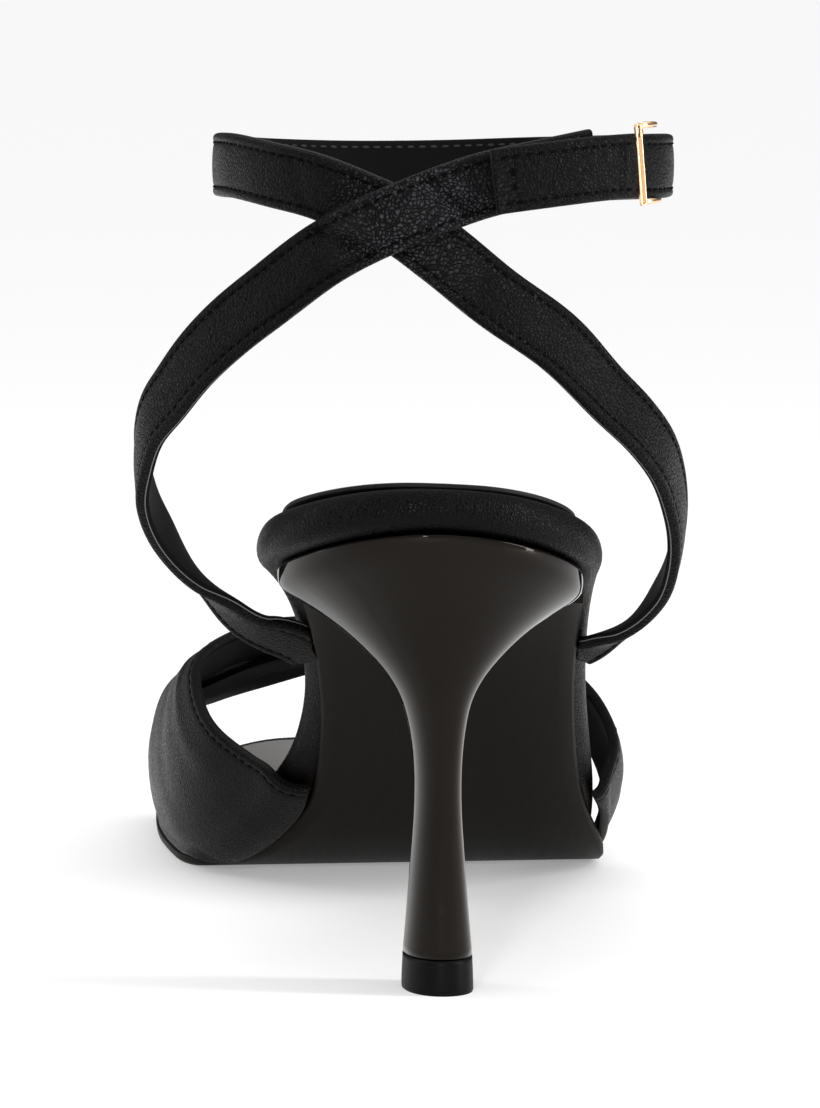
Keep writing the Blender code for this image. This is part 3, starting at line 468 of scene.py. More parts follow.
crownTable = {
    "columns": ("along", "top", "inside", "outside"),
    "rows": (
        (0.4504, 0.7403, 0.2, 0.46), (0.4849, 0.7143, 0.225, 0.485), (0.4978, 0.7013, 0.2475, 0.4987),
        (0.5108, 0.6883, 0.275, 0.515), (0.528, 0.6701, 0.31, 0.5312), (0.5496, 0.6481, 0.3525, 0.5463),
        (0.5711, 0.6286, 0.3825, 0.5563), (0.6056, 0.5974, 0.415, 0.5613), (0.6487, 0.5506, 0.4375, 0.5575),
        (0.7134, 0.4831, 0.4475, 0.5325), (0.778, 0.4234, 0.4425, 0.4925), (0.8427, 0.3506, 0.4325, 0.445),
        (0.9073, 0.3013, 0.4125, 0.375), (0.9504, 0.2727, 0.3875, 0.3375),
    ),
    # height and width shares of the two flanks
    "shoulders": {
        "inside": ((0.62, 0.98), (0.80, 0.91), (0.925, 0.68)),
        "outside": ((0.46, 0.95), (0.68, 0.82), (0.88, 0.58)),
    },
    "widest": {"inside": 0.42, "outside": 0.24},  # height share of the widest point
    "clear": 0.75 * mm,
    "foldReach": 3.5 * mm,
}


def alongShare(y):
    return (np.asarray(y, dtype=float) + last["back"]) / last["length"]


def forefootSection(y, steps=480):
    here = alongShare(y)
    top = last["heelHeight"] * float(rowValue(crownTable, "top", here))
    base = last["heelHeight"] * float(rowValue(bedTable, "underside", here))
    thick = last["bedThickness"] * float(rowValue(bedTable, "thickness", here))
    turn = last["bedThickness"] * float(rowValue(bedTable, "underRound", here))
    clear = crownTable["clear"]
    rise = top - base
    sides = []
    for name, shoulder in crownTable["shoulders"].items():
        bed = last["ball"] * float(rowValue(bedTable, name, here))
        edge = last["ball"] * float(rowValue(soleTable, name, here))
        wide = last["ball"] * float(rowValue(crownTable, name, here))
        # how far the bands turn in under the bed
        fold = min(max((bed - edge) / crownTable["foldReach"], 0), 1)
        level = 0.12 * mm * (1 - fold) - clear * fold
        inset = bed - edge
        side = [
            (bed + clear - fold * inset, base + level),
            (bed + clear - fold * min(0.5 * turn + clear, 0.6 * inset),
             base + level + (0.1 - 0.04 * fold) * thick),
            (bed + clear - fold * min(0.06 * turn + clear, 0.2 * inset), base + (0.22 - 0.08 * fold) * thick),
            (bed + clear, base + 0.46 * thick),
            (bed + clear + 0.35 * (wide - bed), base + 0.95 * thick),
            (wide, base + crownTable["widest"][name] * rise),
        ]
        sides.append(side + [(out * wide, base + up * rise) for up, out in shoulder])
    middle = 0.5 * (sides[1][5][0] - sides[0][5][0])
    line = np.array([(-x, z) for x, z in sides[0]] + [(middle, top)] + sides[1][::-1])
    known = arcLength(line)
    fine = np.linspace(0, known[-1], 2 * steps + 1)
    x = throughRows(known, line[:, 0], fine)
    z = throughRows(known, line[:, 1], fine)
    measure = np.concatenate([[0], np.cumsum(np.hypot(np.diff(x), np.diff(z)))])
    even = np.linspace(0, measure[-1], steps + 1)
    return np.stack([np.interp(even, measure, x), np.full(steps + 1, y), np.interp(even, measure, z)], 1)


lastRows = np.linspace(84 * mm, last["length"] - last["back"], 110)
lastGrid = np.array([forefootSection(y) for y in lastRows])


def onLast(share, y):
    # point of the last's surface at a share of the way round and a place along the shoe
    row = np.clip(np.interp(y, lastRows, np.arange(len(lastRows))), 0, len(lastRows) - 1.001)
    col = np.clip(share, 0, 1) * (lastGrid.shape[1] - 1)
    r = row.astype(int)
    c = np.minimum(col.astype(int), lastGrid.shape[1] - 2)
    u = (row - r)[..., None]
    v = (col - c)[..., None]
    return ((1 - u) * (1 - v) * lastGrid[r, c] + (1 - u) * v * lastGrid[r, c + 1]
            + u * (1 - v) * lastGrid[r + 1, c] + u * v * lastGrid[r + 1, c + 1])


def softRidges(along, across, ridges):
    # troughs (negative) and ridges, each on a short line: from, to, half width, height, in mm
    total = np.zeros(np.broadcast(along, across).shape)
    for a0, b0, a1, b1, width, height in ridges:
        dx, dy = a1 - a0, b1 - b0
        t = np.clip(((along - a0) * dx + (across - b0) * dy) / (dx * dx + dy * dy), 0, 1)
        away = np.hypot(along - a0 - t * dx, across - b0 - t * dy)
        total += height * np.exp(-(away / width) ** 2)
    return total


# edge of a folded and stitched strap: distance from the edge in mm, height in half walls
foldedEdge = {
    "outer": ((0.0, -0.12), (0.07, 0.48), (0.32, 0.86), (0.8, 1.0),
              (1.3, 0.98), (1.62, 0.72), (1.95, 0.93), (2.8, 1.02)),
    "inner": ((0.04, -0.3), (0.02, -0.44), (0.04, -0.62), (0.14, -0.82),
              (0.3, -0.95), (1.1, -1.0), (1.8, -1.0), (2.8, -1.0)),
    "stitchAt": 5,  # the point of both rows that the stitches lie on
}


def profileRows(inside):
    # share of the way between the edges' inner ends, then the heights of both faces
    middle = np.linspace(0, 1, inside + 2)[1:-1]
    outerHeight = 1.02 + 0.08 * (1 - (2 * middle - 1) ** 2)
    return middle, outerHeight


def ringSlots(across):
    # leather outside, a thin painted highlight along the lining's edge, lining inside
    return [0] * across + [3] + [1] * (across - 3) + [3] + [0]


# Forefoot bands: share of the way over the foot, then the rear and front edges along the shoe
bands = {
    "rearBand": {
        "rows": ((0, 0.4892, 0.8297), (0.06, 0.4955, 0.8297), (0.12, 0.5155, 0.8254), (0.18, 0.543, 0.8082),
                 (0.24, 0.5715, 0.778), (0.32, 0.6056, 0.7435), (0.4, 0.6272, 0.7263), (0.5, 0.6487, 0.7435),
                 (0.6, 0.6703, 0.7737), (0.7, 0.6918, 0.8039), (0.8, 0.7134, 0.8341), (0.9, 0.7263, 0.8599),
                 (1, 0.7349, 0.8772)),
        "lift": 1.3 * mm, "inside": 26,
        "ridges": ((20, 8, 34, 10, 2.6, 0.35), (14, 30, 30, 22, 3.0, -0.35), (17, 44, 36, 30, 3.4, 0.3),
                   (60, 5, 66, 14, 2.0, -0.3)),
    },
    "crossBand": {
        "rows": ((0, 0.8125, 0.8728), (0.1, 0.8039, 0.8642), (0.2, 0.7866, 0.847), (0.3, 0.7565, 0.8168),
                 (0.4, 0.7134, 0.778), (0.5, 0.6659, 0.7392), (0.6, 0.6228, 0.7091), (0.7, 0.5841, 0.6789),
                 (0.8, 0.5496, 0.653), (0.9, 0.5237, 0.6401), (1, 0.5065, 0.6315)),
        "lift": 0.0, "inside": 12,
        "ridges": ((70, 4, 110, 5, 1.6, 0.3), (60, 9, 100, 11, 1.8, -0.3), (120, 3, 130, 14, 2.2, -0.3)),
    },
    "toeBand": {
        "rows": ((0, 0.8772, 0.9289), (0.1, 0.8685, 0.9203), (0.2, 0.8513, 0.903), (0.3, 0.8211, 0.8728),
                 (0.4, 0.7823, 0.8297), (0.5, 0.7349, 0.7823), (0.6, 0.6918, 0.7392), (0.7, 0.653, 0.6961),
                 (0.8, 0.6228, 0.6659), (0.9, 0.6056, 0.6487), (1, 0.597, 0.6401)),
        "lift": 0.6 * mm, "inside": 8,
        "ridges": ((60, 4, 100, 5, 1.6, 0.25), (110, 2, 118, 8, 1.8, -0.3)),
    },
}
bandMake = {
    "wall": 2.0 * mm,
    "stations": 170,
    "leastStretch": 0.35,
    "creaseFade": 3.0,  # mm from the edges in which the creases die out
}


def makeBand(name, band):
    rows = np.array(band["rows"])
    share = np.linspace(0, 1, bandMake["stations"])
    rear = levelRows(rows[:, 0], rows[:, 1], share) * last["length"] - last["back"]
    front = levelRows(rows[:, 0], rows[:, 2], share) * last["length"] - last["back"]

    def acrossScale(y):
        path = onLast(share, y)
        run = unit(np.gradient(path, axis=0))
        side = (onLast(share, y + mm) - onLast(share, y - mm)) / (2 * mm)
        return np.linalg.norm(side - run * (side * run).sum(1)[:, None], axis=1)

    middle, crown = profileRows(band["inside"])
    perRear = 1 / np.maximum(acrossScale(rear), bandMake["leastStretch"])
    perFront = 1 / np.maximum(acrossScale(front), bandMake["leastStretch"])
    faces = {}
    for face in ("outer", "inner"):
        steps = np.array([d for d, h in foldedEdge[face]]) * mm
        heights = [h for d, h in foldedEdge[face]]
        a = rear[:, None] + steps[None, :] * perRear[:, None]
        b = (front[:, None] - steps[None, :] * perFront[:, None])[:, ::-1]
        mid = a[:, -1:] + (b[:, :1] - a[:, -1:]) * middle[None, :]
        y = np.concatenate([a, mid, b], 1)
        inner = crown if face == "outer" else np.full(len(middle), -1.0)
        faces[face] = (y, np.concatenate([heights, inner, heights[::-1]]))
    rings = []
    for face in ("outer", "inner"):
        y, height = faces[face]
        s = np.broadcast_to(share[:, None], y.shape)
        p = onLast(s, y)
        du = onLast(np.minimum(s + 0.004, 1), y) - onLast(np.maximum(s - 0.004, 0), y)
        dv = onLast(s, y + mm) - onLast(s, y - mm)
        n = unit(np.cross(du, dv))
        lift = band["lift"] * np.clip(np.sin(math.pi * s) * 1.6 - 0.35, 0, 1)
        rise = (height[None, :] + 1) * 0.5 * bandMake["wall"] + lift
        if face == "outer":
            reach = arcLength(p[:, p.shape[1] // 2]) / mm
            wide = (y - y[:, :1]) / mm
            fade = np.clip(np.minimum(wide, wide[:, -1:] - wide) / bandMake["creaseFade"], 0, 1)
            rise = rise + softRidges(reach[:, None], wide, band["ridges"]) * fade * mm
        rings.append((p + n * rise[..., None], n))
    outer, normals = rings[0]
    ring = np.concatenate([outer, rings[1][0][:, ::-1]], 1)
    materials = (bandLeather, strapLining, inkedEdge, strapLining)
    piece = sweepPiece(name, ring, materials, ringSlots(outer.shape[1]))
    at = foldedEdge["stitchAt"]
    lines = [(outer[:, at], normals[:, at]), (outer[:, -1 - at], normals[:, -1 - at])]
    return refine(piece), lines


# Ankle straps: stations of the centre line, x and y in loop widths, z in heel heights, then the
# strap's heading and dip in degrees. Creases: along and across from, along and across to, half
# width and height, in mm. The bump lifts the strap where it crosses: height, place, spread.
straps = {
    "innerAnkleStrap": {
        "rows": (
            (-0.1907, 0.7448, 0.6273, -26, 48), (-0.2242, 0.7216, 0.6519, -26, 43),
            (-0.3479, 0.6701, 0.7117, -45, 40), (-0.4175, 0.6057, 0.7766, -65, 32),
            (-0.482, 0.5541, 0.839, -85, 22), (-0.5374, 0.4897, 0.9143, -100, 14),
            (-0.5786, 0.4253, 0.987, -102, 8), (-0.6005, 0.3608, 1.0597, -98, 3),
            (-0.6031, 0.2964, 1.1325, -86, 0), (-0.5876, 0.2191, 1.2143, -76, -2),
            (-0.5541, 0.1546, 1.2727, -66, -2), (-0.5, 0.0773, 1.3558, -58, -1),
            (-0.4369, 0.0129, 1.426, -48, 0), (-0.366, -0.0515, 1.4896, -38, 0),
            (-0.241, -0.1224, 1.5883, -24, 0), (-0.0992, -0.1753, 1.6649, -12, 0),
            (0.0696, -0.183, 1.7273, 2, 0), (0.1997, -0.1546, 1.7532, 14, 0),
            (0.3157, -0.1057, 1.774, 26, 0),
        ),
        "width": 10.6, "wall": 2.4, "count": 240, "bump": (2.5 * mm, 0.79, 0.085),
        "ridges": (
            (121.5, -4.2, 126, 0.5, 0.75, -0.8), (126, 0.5, 128.6, 3.6, 0.7, -1.0),
            (128.6, 3.6, 128.3, 5.2, 0.6, -0.7), (118, -1.5, 124, 2.0, 1.8, 0.35),
            (129.5, -3.4, 138, -3.0, 1.6, 0.3), (131, 0.5, 142, 1.6, 2.8, 0.7),
            (132, 4.4, 146, 4.6, 0.9, 0.25), (141.2, -4.4, 143.6, 0.4, 0.75, -0.9),
            (143.6, 0.4, 146.4, 3.0, 0.7, -1.0), (146.4, 3.0, 153, 3.9, 0.65, -0.6),
            (146.5, -1.6, 151, 0.8, 1.8, 0.45), (100, 2.2, 118, 2.0, 1.2, 0.2),
            (60, -1.0, 85, -1.2, 2.2, 0.15),
        ),
    },
    "outerAnkleStrap": {
        "rows": (
            (0.3814, 0.7397, 0.6234, 26, 48), (0.4124, 0.7191, 0.6442, 26, 43),
            (0.451, 0.6701, 0.6688, 45, 40), (0.4961, 0.6186, 0.7013, 60, 32),
            (0.5284, 0.567, 0.7481, 75, 24), (0.5593, 0.5026, 0.813, 80, 14),
            (0.5702, 0.4253, 0.8961, 79, 8), (0.5642, 0.3608, 0.9714, 74, 3),
            (0.5448, 0.2964, 1.0442, 67, 0), (0.5092, 0.2191, 1.1208, 61, -2),
            (0.4497, 0.1418, 1.1948, 58, -2), (0.3763, 0.0773, 1.2649, 52, -1),
            (0.2487, -0.0387, 1.3909, 34, 0), (0.1044, -0.116, 1.4935, 18, 0),
            (-0.0129, -0.1456, 1.5883, 4, 0), (-0.0966, -0.1366, 1.6494, -8, 0),
            (-0.1791, -0.116, 1.6883, -22, 0), (-0.2603, -0.0773, 1.7208, -36, 0),
            (-0.3505, 0.0129, 1.7429, -54, 0), (-0.4098, 0.1546, 1.7545, -74, 0),
            (-0.4304, 0.3222, 1.7519, -90, 0), (-0.4021, 0.5541, 1.7377, -115, 0),
            (-0.2964, 0.7474, 1.7221, -140, 0), (-0.1031, 0.8544, 1.7117, -165, 0),
            (0.1031, 0.8711, 1.7117, -188, 0), (0.2835, 0.8054, 1.7195, -212, 0),
            (0.4459, 0.6443, 1.7299, -240, 0), (0.5155, 0.451, 1.7403, -262, 0),
            (0.5206, 0.2577, 1.7481, -282, 0), (0.4716, 0.0902, 1.7532, -297, 0),
            (0.366, -0.0206, 1.7558, -318, 0), (0.2242, -0.0954, 1.7532, -338, 0),
        ),
        "width": 10.6, "wall": 2.4, "count": 330, "bump": (0.0, 0.5, 1.0),
        "ridges": (
            (62, -1.0, 84, -1.0, 2.0, 0.14), (113, -2.4, 117, 3.5, 0.9, -0.3), (108, 0, 112, 1.5, 1.8, 0.22),
            (147, -3.5, 151, 3.5, 1.0, -0.3), (143, 0, 146, 1, 1.6, 0.2),
        ),
    },
    "buckleStrap": {
        "rows": (
            (0.0889, -0.2287, 1.7364, 4, 0), (0.1649, -0.2159, 1.7455, 12, 0),
            (0.241, -0.1894, 1.7532, 22, 0), (0.3273, -0.134, 1.7597, 36, 0),
            (0.4072, -0.0593, 1.7616, 48, 0),
        ),
        "width": 10.6, "wall": 1.6, "count": 60, "bump": (0.0, 0.5, 1.0),
        "ridges": (
            (3.3, -5, 3.3, 5, 0.35, -0.3), (24.6, -3.6, 24.4, 3.8, 0.5, -0.3),
            (25.7, -2.6, 25.9, 0.4, 0.4, 0.22), (25.6, 1.4, 25.4, 3.2, 0.4, 0.2),
        ),
    },
}


def strapFrames(strap, count):
    rows = np.array(strap["rows"])
    path = rows[:, :3] * [last["loopWidth"], last["loopWidth"], last["heelHeight"]]
    known = arcLength(path)
    known = known / known[-1]
    at = np.linspace(0, 1, count)
    centre = np.stack([throughRows(known, path[:, i], at) for i in range(3)], 1)
    heading = np.radians(throughRows(known, rows[:, 3], at))
    dip = np.radians(throughRows(known, rows[:, 4], at))
    run = np.empty_like(centre)
    run[1:-1] = centre[2:] - centre[:-2]
    run[0] = centre[1] - centre[0]
    run[-1] = centre[-1] - centre[-2]
    run = unit(run)
    face = np.stack([np.sin(heading) * np.cos(dip), -np.cos(heading) * np.cos(dip), -np.sin(dip)], 1)
    face = unit(face - run * (face * run).sum(1)[:, None])
    height, middle, spread = strap["bump"]
    centre = centre + face * (height * np.exp(-((at - middle) / spread) ** 2))[:, None]
    return centre, run, face, np.cross(run, face)


def makeStrap(name, strap):
    centre, run, face, across = strapFrames(strap, strap["count"])
    half = 0.5 * strap["width"]
    middle, crown = profileRows(5)
    sides = []
    for side in ("outer", "inner"):
        edge = np.array([d for d, h in foldedEdge[side]])
        heights = [h for d, h in foldedEdge[side]]
        place = np.concatenate([edge - half, (edge[-1] - half) * (1 - 2 * middle), (half - edge)[::-1]])
        inner = crown if side == "outer" else np.full(len(middle), -1.0)
        sides.append((place, np.concatenate([heights, inner, heights[::-1]])))
    reach = arcLength(centre) / mm
    faces = []
    for i, (place, height) in enumerate(sides):
        rise = np.broadcast_to(height[None, :] * 0.5 * strap["wall"], (len(centre), len(height))).copy()
        if i == 0 and strap["ridges"]:
            rise += softRidges(reach[:, None], place[None, :], strap["ridges"])
        offset = across[:, None] * place[None, :, None] + face[:, None] * rise[..., None]
        faces.append(centre[:, None] + offset * mm)
    ring = np.concatenate([faces[0], faces[1][:, ::-1]], 1)
    # slot 3 carries the painted highlight along the lining's edge
    materials = (leather, strapLining, inkedEdge, liningEdgeHighlight)
    piece = refine(sweepPiece(name, ring, materials, ringSlots(len(sides[0][0]))))
    at = foldedEdge["stitchAt"]
    lines = [(faces[0][:, at], face), (faces[0][:, -1 - at], face)]
    inside = [(faces[1][:, at], -face), (faces[1][:, -1 - at], -face)]
    return piece, lines, inside, (centre, run, face, across, reach)


def welded(name, node, grow=0.0):
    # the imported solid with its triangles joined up
    mesh = nodes[node].data.copy()
    piece = bpy.data.objects.new(name, mesh)
    bpy.context.scene.collection.objects.link(piece)
    work = bmesh.new()
    work.from_mesh(mesh)
    bmesh.ops.remove_doubles(work, verts=work.verts, dist=0.00001)
    if grow:
        work.normal_update()
        for vert, out in [(vert, vert.normal.copy()) for vert in work.verts]:
            vert.co += out * grow
    work.to_mesh(mesh)
    work.free()
    return piece


def trimBy(piece, solids, clear=0.4 * mm):
    # the strap ends where it meets the footbed and the sole; what is cut off is dropped
    tools = [welded("trim_" + node, node, clear) for node in solids]
    for tool in tools:
        cut = piece.modifiers.new("trim", "BOOLEAN")
        cut.operation = "DIFFERENCE"
        cut.solver = "EXACT"
        cut.object = tool
    settle(piece)
    for tool in tools:
        bpy.data.objects.remove(tool, do_unlink=True)
    work = bmesh.new()
    work.from_mesh(piece.data)
    left = set(work.verts)
    bodies = []
    while left:
        front = [left.pop()]
        body = list(front)
        while front:
            for edge in front.pop().link_edges:
                for vert in edge.verts:
                    if vert in left:
                        left.discard(vert)
                        front.append(vert)
                        body.append(vert)
        bodies.append(body)
    bodies.sort(key=len)
    bmesh.ops.delete(work, geom=[vert for body in bodies[:-1] for vert in body], context="VERTS")
    work.to_mesh(piece.data)
    work.free()
    piece.data.polygons.foreach_set("use_smooth", [True] * len(piece.data.polygons))


print("shapes of the last ready")
bandLines = []
for name, band in bands.items():
    piece, lines = makeBand(name, band)
    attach(piece, "root")
    if name == "rearBand":
        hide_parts("upper")
    bandLines += lines
print("forefoot straps made")

strapLines = {}
strapInsides = {}
strapPaths = {}
strapNodes = {
    "innerAnkleStrap": "inner_ankle_strap",
    "outerAnkleStrap": "outer_ankle_strap",
    "buckleStrap": "buckle_strap",
}
for name, node in strapNodes.items():
    piece, strapLines[name], strapInsides[name], strapPaths[name] = makeStrap(name, straps[name])
    if name != "buckleStrap":
        trimBy(piece, ("footbed", "outsole"))
    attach(piece, "root")
    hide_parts(node)
print("ankle straps made")


stitch = {
    "pitch": 2.0 * mm,
    "length": 1.35 * mm,
    "thick": 0.46 * mm,
    "rise": 0.1 * mm,  # how far the thread's middle stands above the groove
    "look": 0.4 * mm,  # how far ahead and behind its direction is read
    "smallest": (0.92, 0.9, 0.85),
    "largest": (1.06, 1.1, 1.15),
    "seed": 11,
}


def stitchPlaces(line, normals, start=2.0 * mm, end=2.0 * mm):
    reach = arcLength(line)
    count = max(int((reach[-1] - start - end) / stitch["pitch"]), 1)
    at = start + (np.arange(count) + 0.5) * (reach[-1] - start - end) / count

    def read(values, where):
        return np.stack([np.interp(where, reach, values[:, i]) for i in range(3)], 1)

    ahead = read(line, at + stitch["look"]) - read(line, at - stitch["look"])
    return read(line, at), unit(ahead), unit(read(normals, at))


def stitchTree():
    tree = bpy.data.node_groups.new("stitchRow", "GeometryNodeTree")
    face = tree.interface
    face.new_socket("Geometry", in_out="INPUT", socket_type="NodeSocketGeometry")
    for label, value in (("Stitch Length", stitch["length"]), ("Stitch Thickness", stitch["thick"])):
        socket = face.new_socket(label, in_out="INPUT", socket_type="NodeSocketFloat")
        socket.default_value = value
    seed = face.new_socket("Seed", in_out="INPUT", socket_type="NodeSocketInt")
    seed.default_value = stitch["seed"]
    face.new_socket("Thread", in_out="INPUT", socket_type="NodeSocketMaterial")
    face.new_socket("Geometry", in_out="OUTPUT", socket_type="NodeSocketGeometry")

    def add(kind, settings=None, sockets=None):
        node = tree.nodes.new(kind)
        for key, value in (settings or {}).items():
            setattr(node, key, value)
        for key, value in (sockets or {}).items():
            if isinstance(value, bpy.types.NodeSocket):
                tree.links.new(value, node.inputs[key])
            else:
                node.inputs[key].default_value = value
        return node

    start = add("NodeGroupInput")
    bead = add("GeometryNodeMeshUVSphere", {}, {"Segments": 8, "Rings": 6, "Radius": 0.5})
    thick = start.outputs["Stitch Thickness"]
    size = add("ShaderNodeCombineXYZ", {}, {"X": start.outputs["Stitch Length"], "Y": thick, "Z": thick})
    shaped = add("GeometryNodeTransform", {}, {"Geometry": bead.outputs["Mesh"], "Scale": size.outputs[0]})
    alongName = add("GeometryNodeInputNamedAttribute", {"data_type": "FLOAT_VECTOR"}, {"Name": "stitchAlong"})
    upName = add("GeometryNodeInputNamedAttribute", {"data_type": "FLOAT_VECTOR"}, {"Name": "stitchUp"})
    turn = add("FunctionNodeAxesToRotation", {"primary_axis": "X", "secondary_axis": "Z"},
               {"Primary Axis": alongName.outputs["Attribute"], "Secondary Axis": upName.outputs["Attribute"]})
    vary = add("FunctionNodeRandomValue", {"data_type": "FLOAT_VECTOR"},
               {0: stitch["smallest"], 1: stitch["largest"], "Seed": start.outputs["Seed"]})
    rows = add("GeometryNodeInstanceOnPoints", {}, {
        "Points": start.outputs["Geometry"], "Instance": shaped.outputs[0],
        "Rotation": turn.outputs[0], "Scale": vary.outputs[0]})
    real = add("GeometryNodeRealizeInstances", {}, {"Geometry": rows.outputs[0]})
    smooth = add("GeometryNodeSetShadeSmooth", {}, {"Geometry": real.outputs[0]})
    paint = add("GeometryNodeSetMaterial", {},
                {"Geometry": smooth.outputs[0], "Material": start.outputs["Thread"]})
    add("NodeGroupOutput", {}, {"Geometry": paint.outputs[0]})
    return tree


stitchNodes = stitchTree()


def makeStitches(name, lines, material=thread, **ends):
    parts = [stitchPlaces(line, up, **ends) for line, up in lines]
    spots, runs, ups = [np.concatenate(part) for part in zip(*parts)]
    mesh = bpy.data.meshes.new(name)
    mesh.from_pydata((spots + ups * stitch["rise"]).tolist(), [], [])
    for label, values in (("stitchAlong", runs), ("stitchUp", ups)):
        layer = mesh.attributes.new(label, "FLOAT_VECTOR", "POINT")
        layer.data.foreach_set("vector", values.astype(np.float32).ravel())
    piece = bpy.data.objects.new(name, mesh)
    bpy.context.scene.collection.objects.link(piece)
    row = piece.modifiers.new("stitchRow", "NODES")
    row.node_group = stitchNodes
    for item in stitchNodes.interface.items_tree:
        if item.item_type == "SOCKET" and item.in_out == "INPUT" and item.name == "Thread":
            row[item.identifier] = material
    settle(piece)
    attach(piece, "root")
    return piece


makeStitches("forefootStitches", bandLines)
makeStitches("innerStrapStitches", strapLines["innerAnkleStrap"])
makeStitches("outerStrapStitches", strapLines["outerAnkleStrap"])
makeStitches("loopInsideStitches", strapInsides["outerAnkleStrap"], greyThread, start=60 * mm, end=25 * mm)

# the row across the tab's sewn end, at and half in mm
tabEnd = {"at": 3.2, "half": 3.6, "rise": 0.78 * mm, "inset": 1.2 * mm, "points": 20}
tabCentre, tabRun, tabFace, tabAcross, tabReach = strapPaths["buckleStrap"]
tabRow = int(np.searchsorted(tabReach, tabEnd["at"]))
tabLine = tabCentre[tabRow] + tabFace[tabRow] * tabEnd["rise"]
tabLine = tabLine + tabAcross[tabRow] * np.linspace(-tabEnd["half"], tabEnd["half"], tabEnd["points"])[:, None] * mm
tabRows = strapLines["buckleStrap"] + [(tabLine, np.repeat(tabFace[tabRow][None], tabEnd["points"], 0))]
makeStitches("buckleStrapStitches", tabRows, start=tabEnd["inset"], end=tabEnd["inset"])
print("stitches made")


def smoothCopy(name, node, material, levels, crease=None, sharp=1.0):
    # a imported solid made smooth: footbed, lining, outsole, heel and tip
    piece = welded(name, node)
    mesh = piece.data
    work = bmesh.new()
    work.from_mesh(mesh)
    bmesh.ops.join_triangles(work, faces=work.faces, angle_face_threshold=0.7, angle_shape_threshold=1.2)
    work.to_mesh(mesh)
    work.free()
    mesh.materials.clear()
    mesh.materials.append(material)
    mesh.polygons.foreach_set("material_index", [0] * len(mesh.polygons))
    mesh.polygons.foreach_set("use_smooth", [True] * len(mesh.polygons))
    refine(piece, levels, crease, sharp)
    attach(piece, "root")
    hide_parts(node)
    return piece


smoothCopy("paddedFootbed", "footbed", bedLeather, 2)
smoothCopy("footbedSock", "sock_lining", sockLining, 2, 0.7, 0.85)
smoothCopy("smoothOutsole", "outsole", solePaint, 2, 0.6)
smoothCopy("heelBlock", "heel", gloss, 3, 0.8)
smoothCopy("heelTip", "heel_tip", tipPaint, 3, 0.9)
print("footbed, sole and heel made")


buckle = {
    "near": 0.955, "far": 0.931, "farLow": 0.922,  # places along the outer strap
    "height": 13.6 * mm,
    "raise": 0.7 * mm,
    "forward": (-0.25 * mm, -3.0 * mm, 0.0),
    "slack": 1.55 * mm,
    "lean": math.radians(7.3),
    # the near loop of two bars
    "rod": 0.24 * mm, "deep": 0.3 * mm, "pitch": 1.1 * mm, "corner": 0.4 * mm,
    # the bow round the back of the strap
    "bow": 0.46 * mm, "bowInset": 0.3 * mm, "bowCorner": 1.1 * mm, "behind": 2.7 * mm,
    # the tan plate between the bars, with a slot left open above it
    "slot": 2.1 * mm, "plateThick": 0.25 * mm, "plateInset": 0.2 * mm, "plateGap": 0.05 * mm,
    "sides": 20,
}


def tube(path, radius, up, closed, deep=None):
    # round bar along a path; deep stretches its section along up
    count = len(path)
    ahead = np.roll(path, -1, 0) - np.roll(path, 1, 0)
    if not closed:
        ahead[0] = path[1] - path[0]
        ahead[-1] = path[-1] - path[-2]
    side = unit(np.cross(unit(ahead), up))
    angle = np.linspace(0, 2 * math.pi, buckle["sides"], endpoint=False)
    size = len(angle)
    flat = radius * np.cos(angle)[None, :, None] * side[:, None]
    rings = path[:, None] + flat + (deep or radius) * np.sin(angle)[None, :, None] * up
    faces = []
    for i in range(count if closed else count - 1):
        a, b = i * size, (i + 1) % count * size
        faces += [(a + j, a + (j + 1) % size, b + (j + 1) % size, b + j) for j in range(size)]
    if not closed:
        faces += [tuple(range(size))[::-1], tuple((count - 1) * size + j for j in range(size))]
    return rings.reshape(-1, 3), faces


def roundedCorners(corners, radius, closed=True, steps=9):
    # a path through the corners with each one rounded off
    path = [] if closed else [corners[0]]
    for i in range(0 if closed else 1, len(corners) if closed else len(corners) - 1):
        here = corners[i]
        a = here + unit(corners[i - 1] - here) * radius
        b = here + unit(corners[(i + 1) % len(corners)] - here) * radius
        for t in np.linspace(0, 1, steps):
            path.append((1 - t) ** 2 * a + 2 * t * (1 - t) * here + t * t * b)
    return np.array(path if closed else path + [corners[-1]])


centre, run, face, across = strapFrames(straps["outerAnkleStrap"], 401)
nearAt, farAt, lowAt = [int(round(buckle[key] * 400)) for key in ("near", "far", "farLow")]
wall = 0.5 * straps["outerAnkleStrap"]["wall"] * mm
near = centre[nearAt] + face[nearAt] * (wall + buckle["slack"]) + across[nearAt] * buckle["raise"]
near = near + buckle["forward"]
up = unit(across[nearAt] * math.cos(buckle["lean"]) + run[nearAt] * math.sin(buckle["lean"]))
wide = unit(np.cross(up, face[nearAt]))
wide = wide * np.sign(wide @ -run[nearAt])
half = 0.5 * buckle["height"] - buckle["rod"]
gap = 0.5 * buckle["pitch"]
loop = [near + up * half * v + wide * gap * w for v, w in ((-1, -1), (1, -1), (1, 1), (-1, 1))]
loopPath = roundedCorners(loop, buckle["corner"])
loopPoints, loopFaces = tube(loopPath, buckle["rod"], face[nearAt], True, buckle["deep"])
inner = half - buckle["bowInset"]
high = centre[farAt] + across[farAt] * (inner + buckle["raise"])
low = centre[lowAt] - across[lowAt] * (inner - buckle["raise"])
bowPath = roundedCorners([
    near + wide * gap + up * inner, high, high - face[farAt] * buckle["behind"],
    low - face[lowAt] * buckle["behind"], low, near + wide * gap - up * inner], buckle["bowCorner"], False)
bowUp = unit(np.cross(centre[farAt] - near, up) + 0.2 * up)
bowPoints, bowFaces = tube(bowPath, buckle["bow"], bowUp, False)
offset = len(loopPoints)
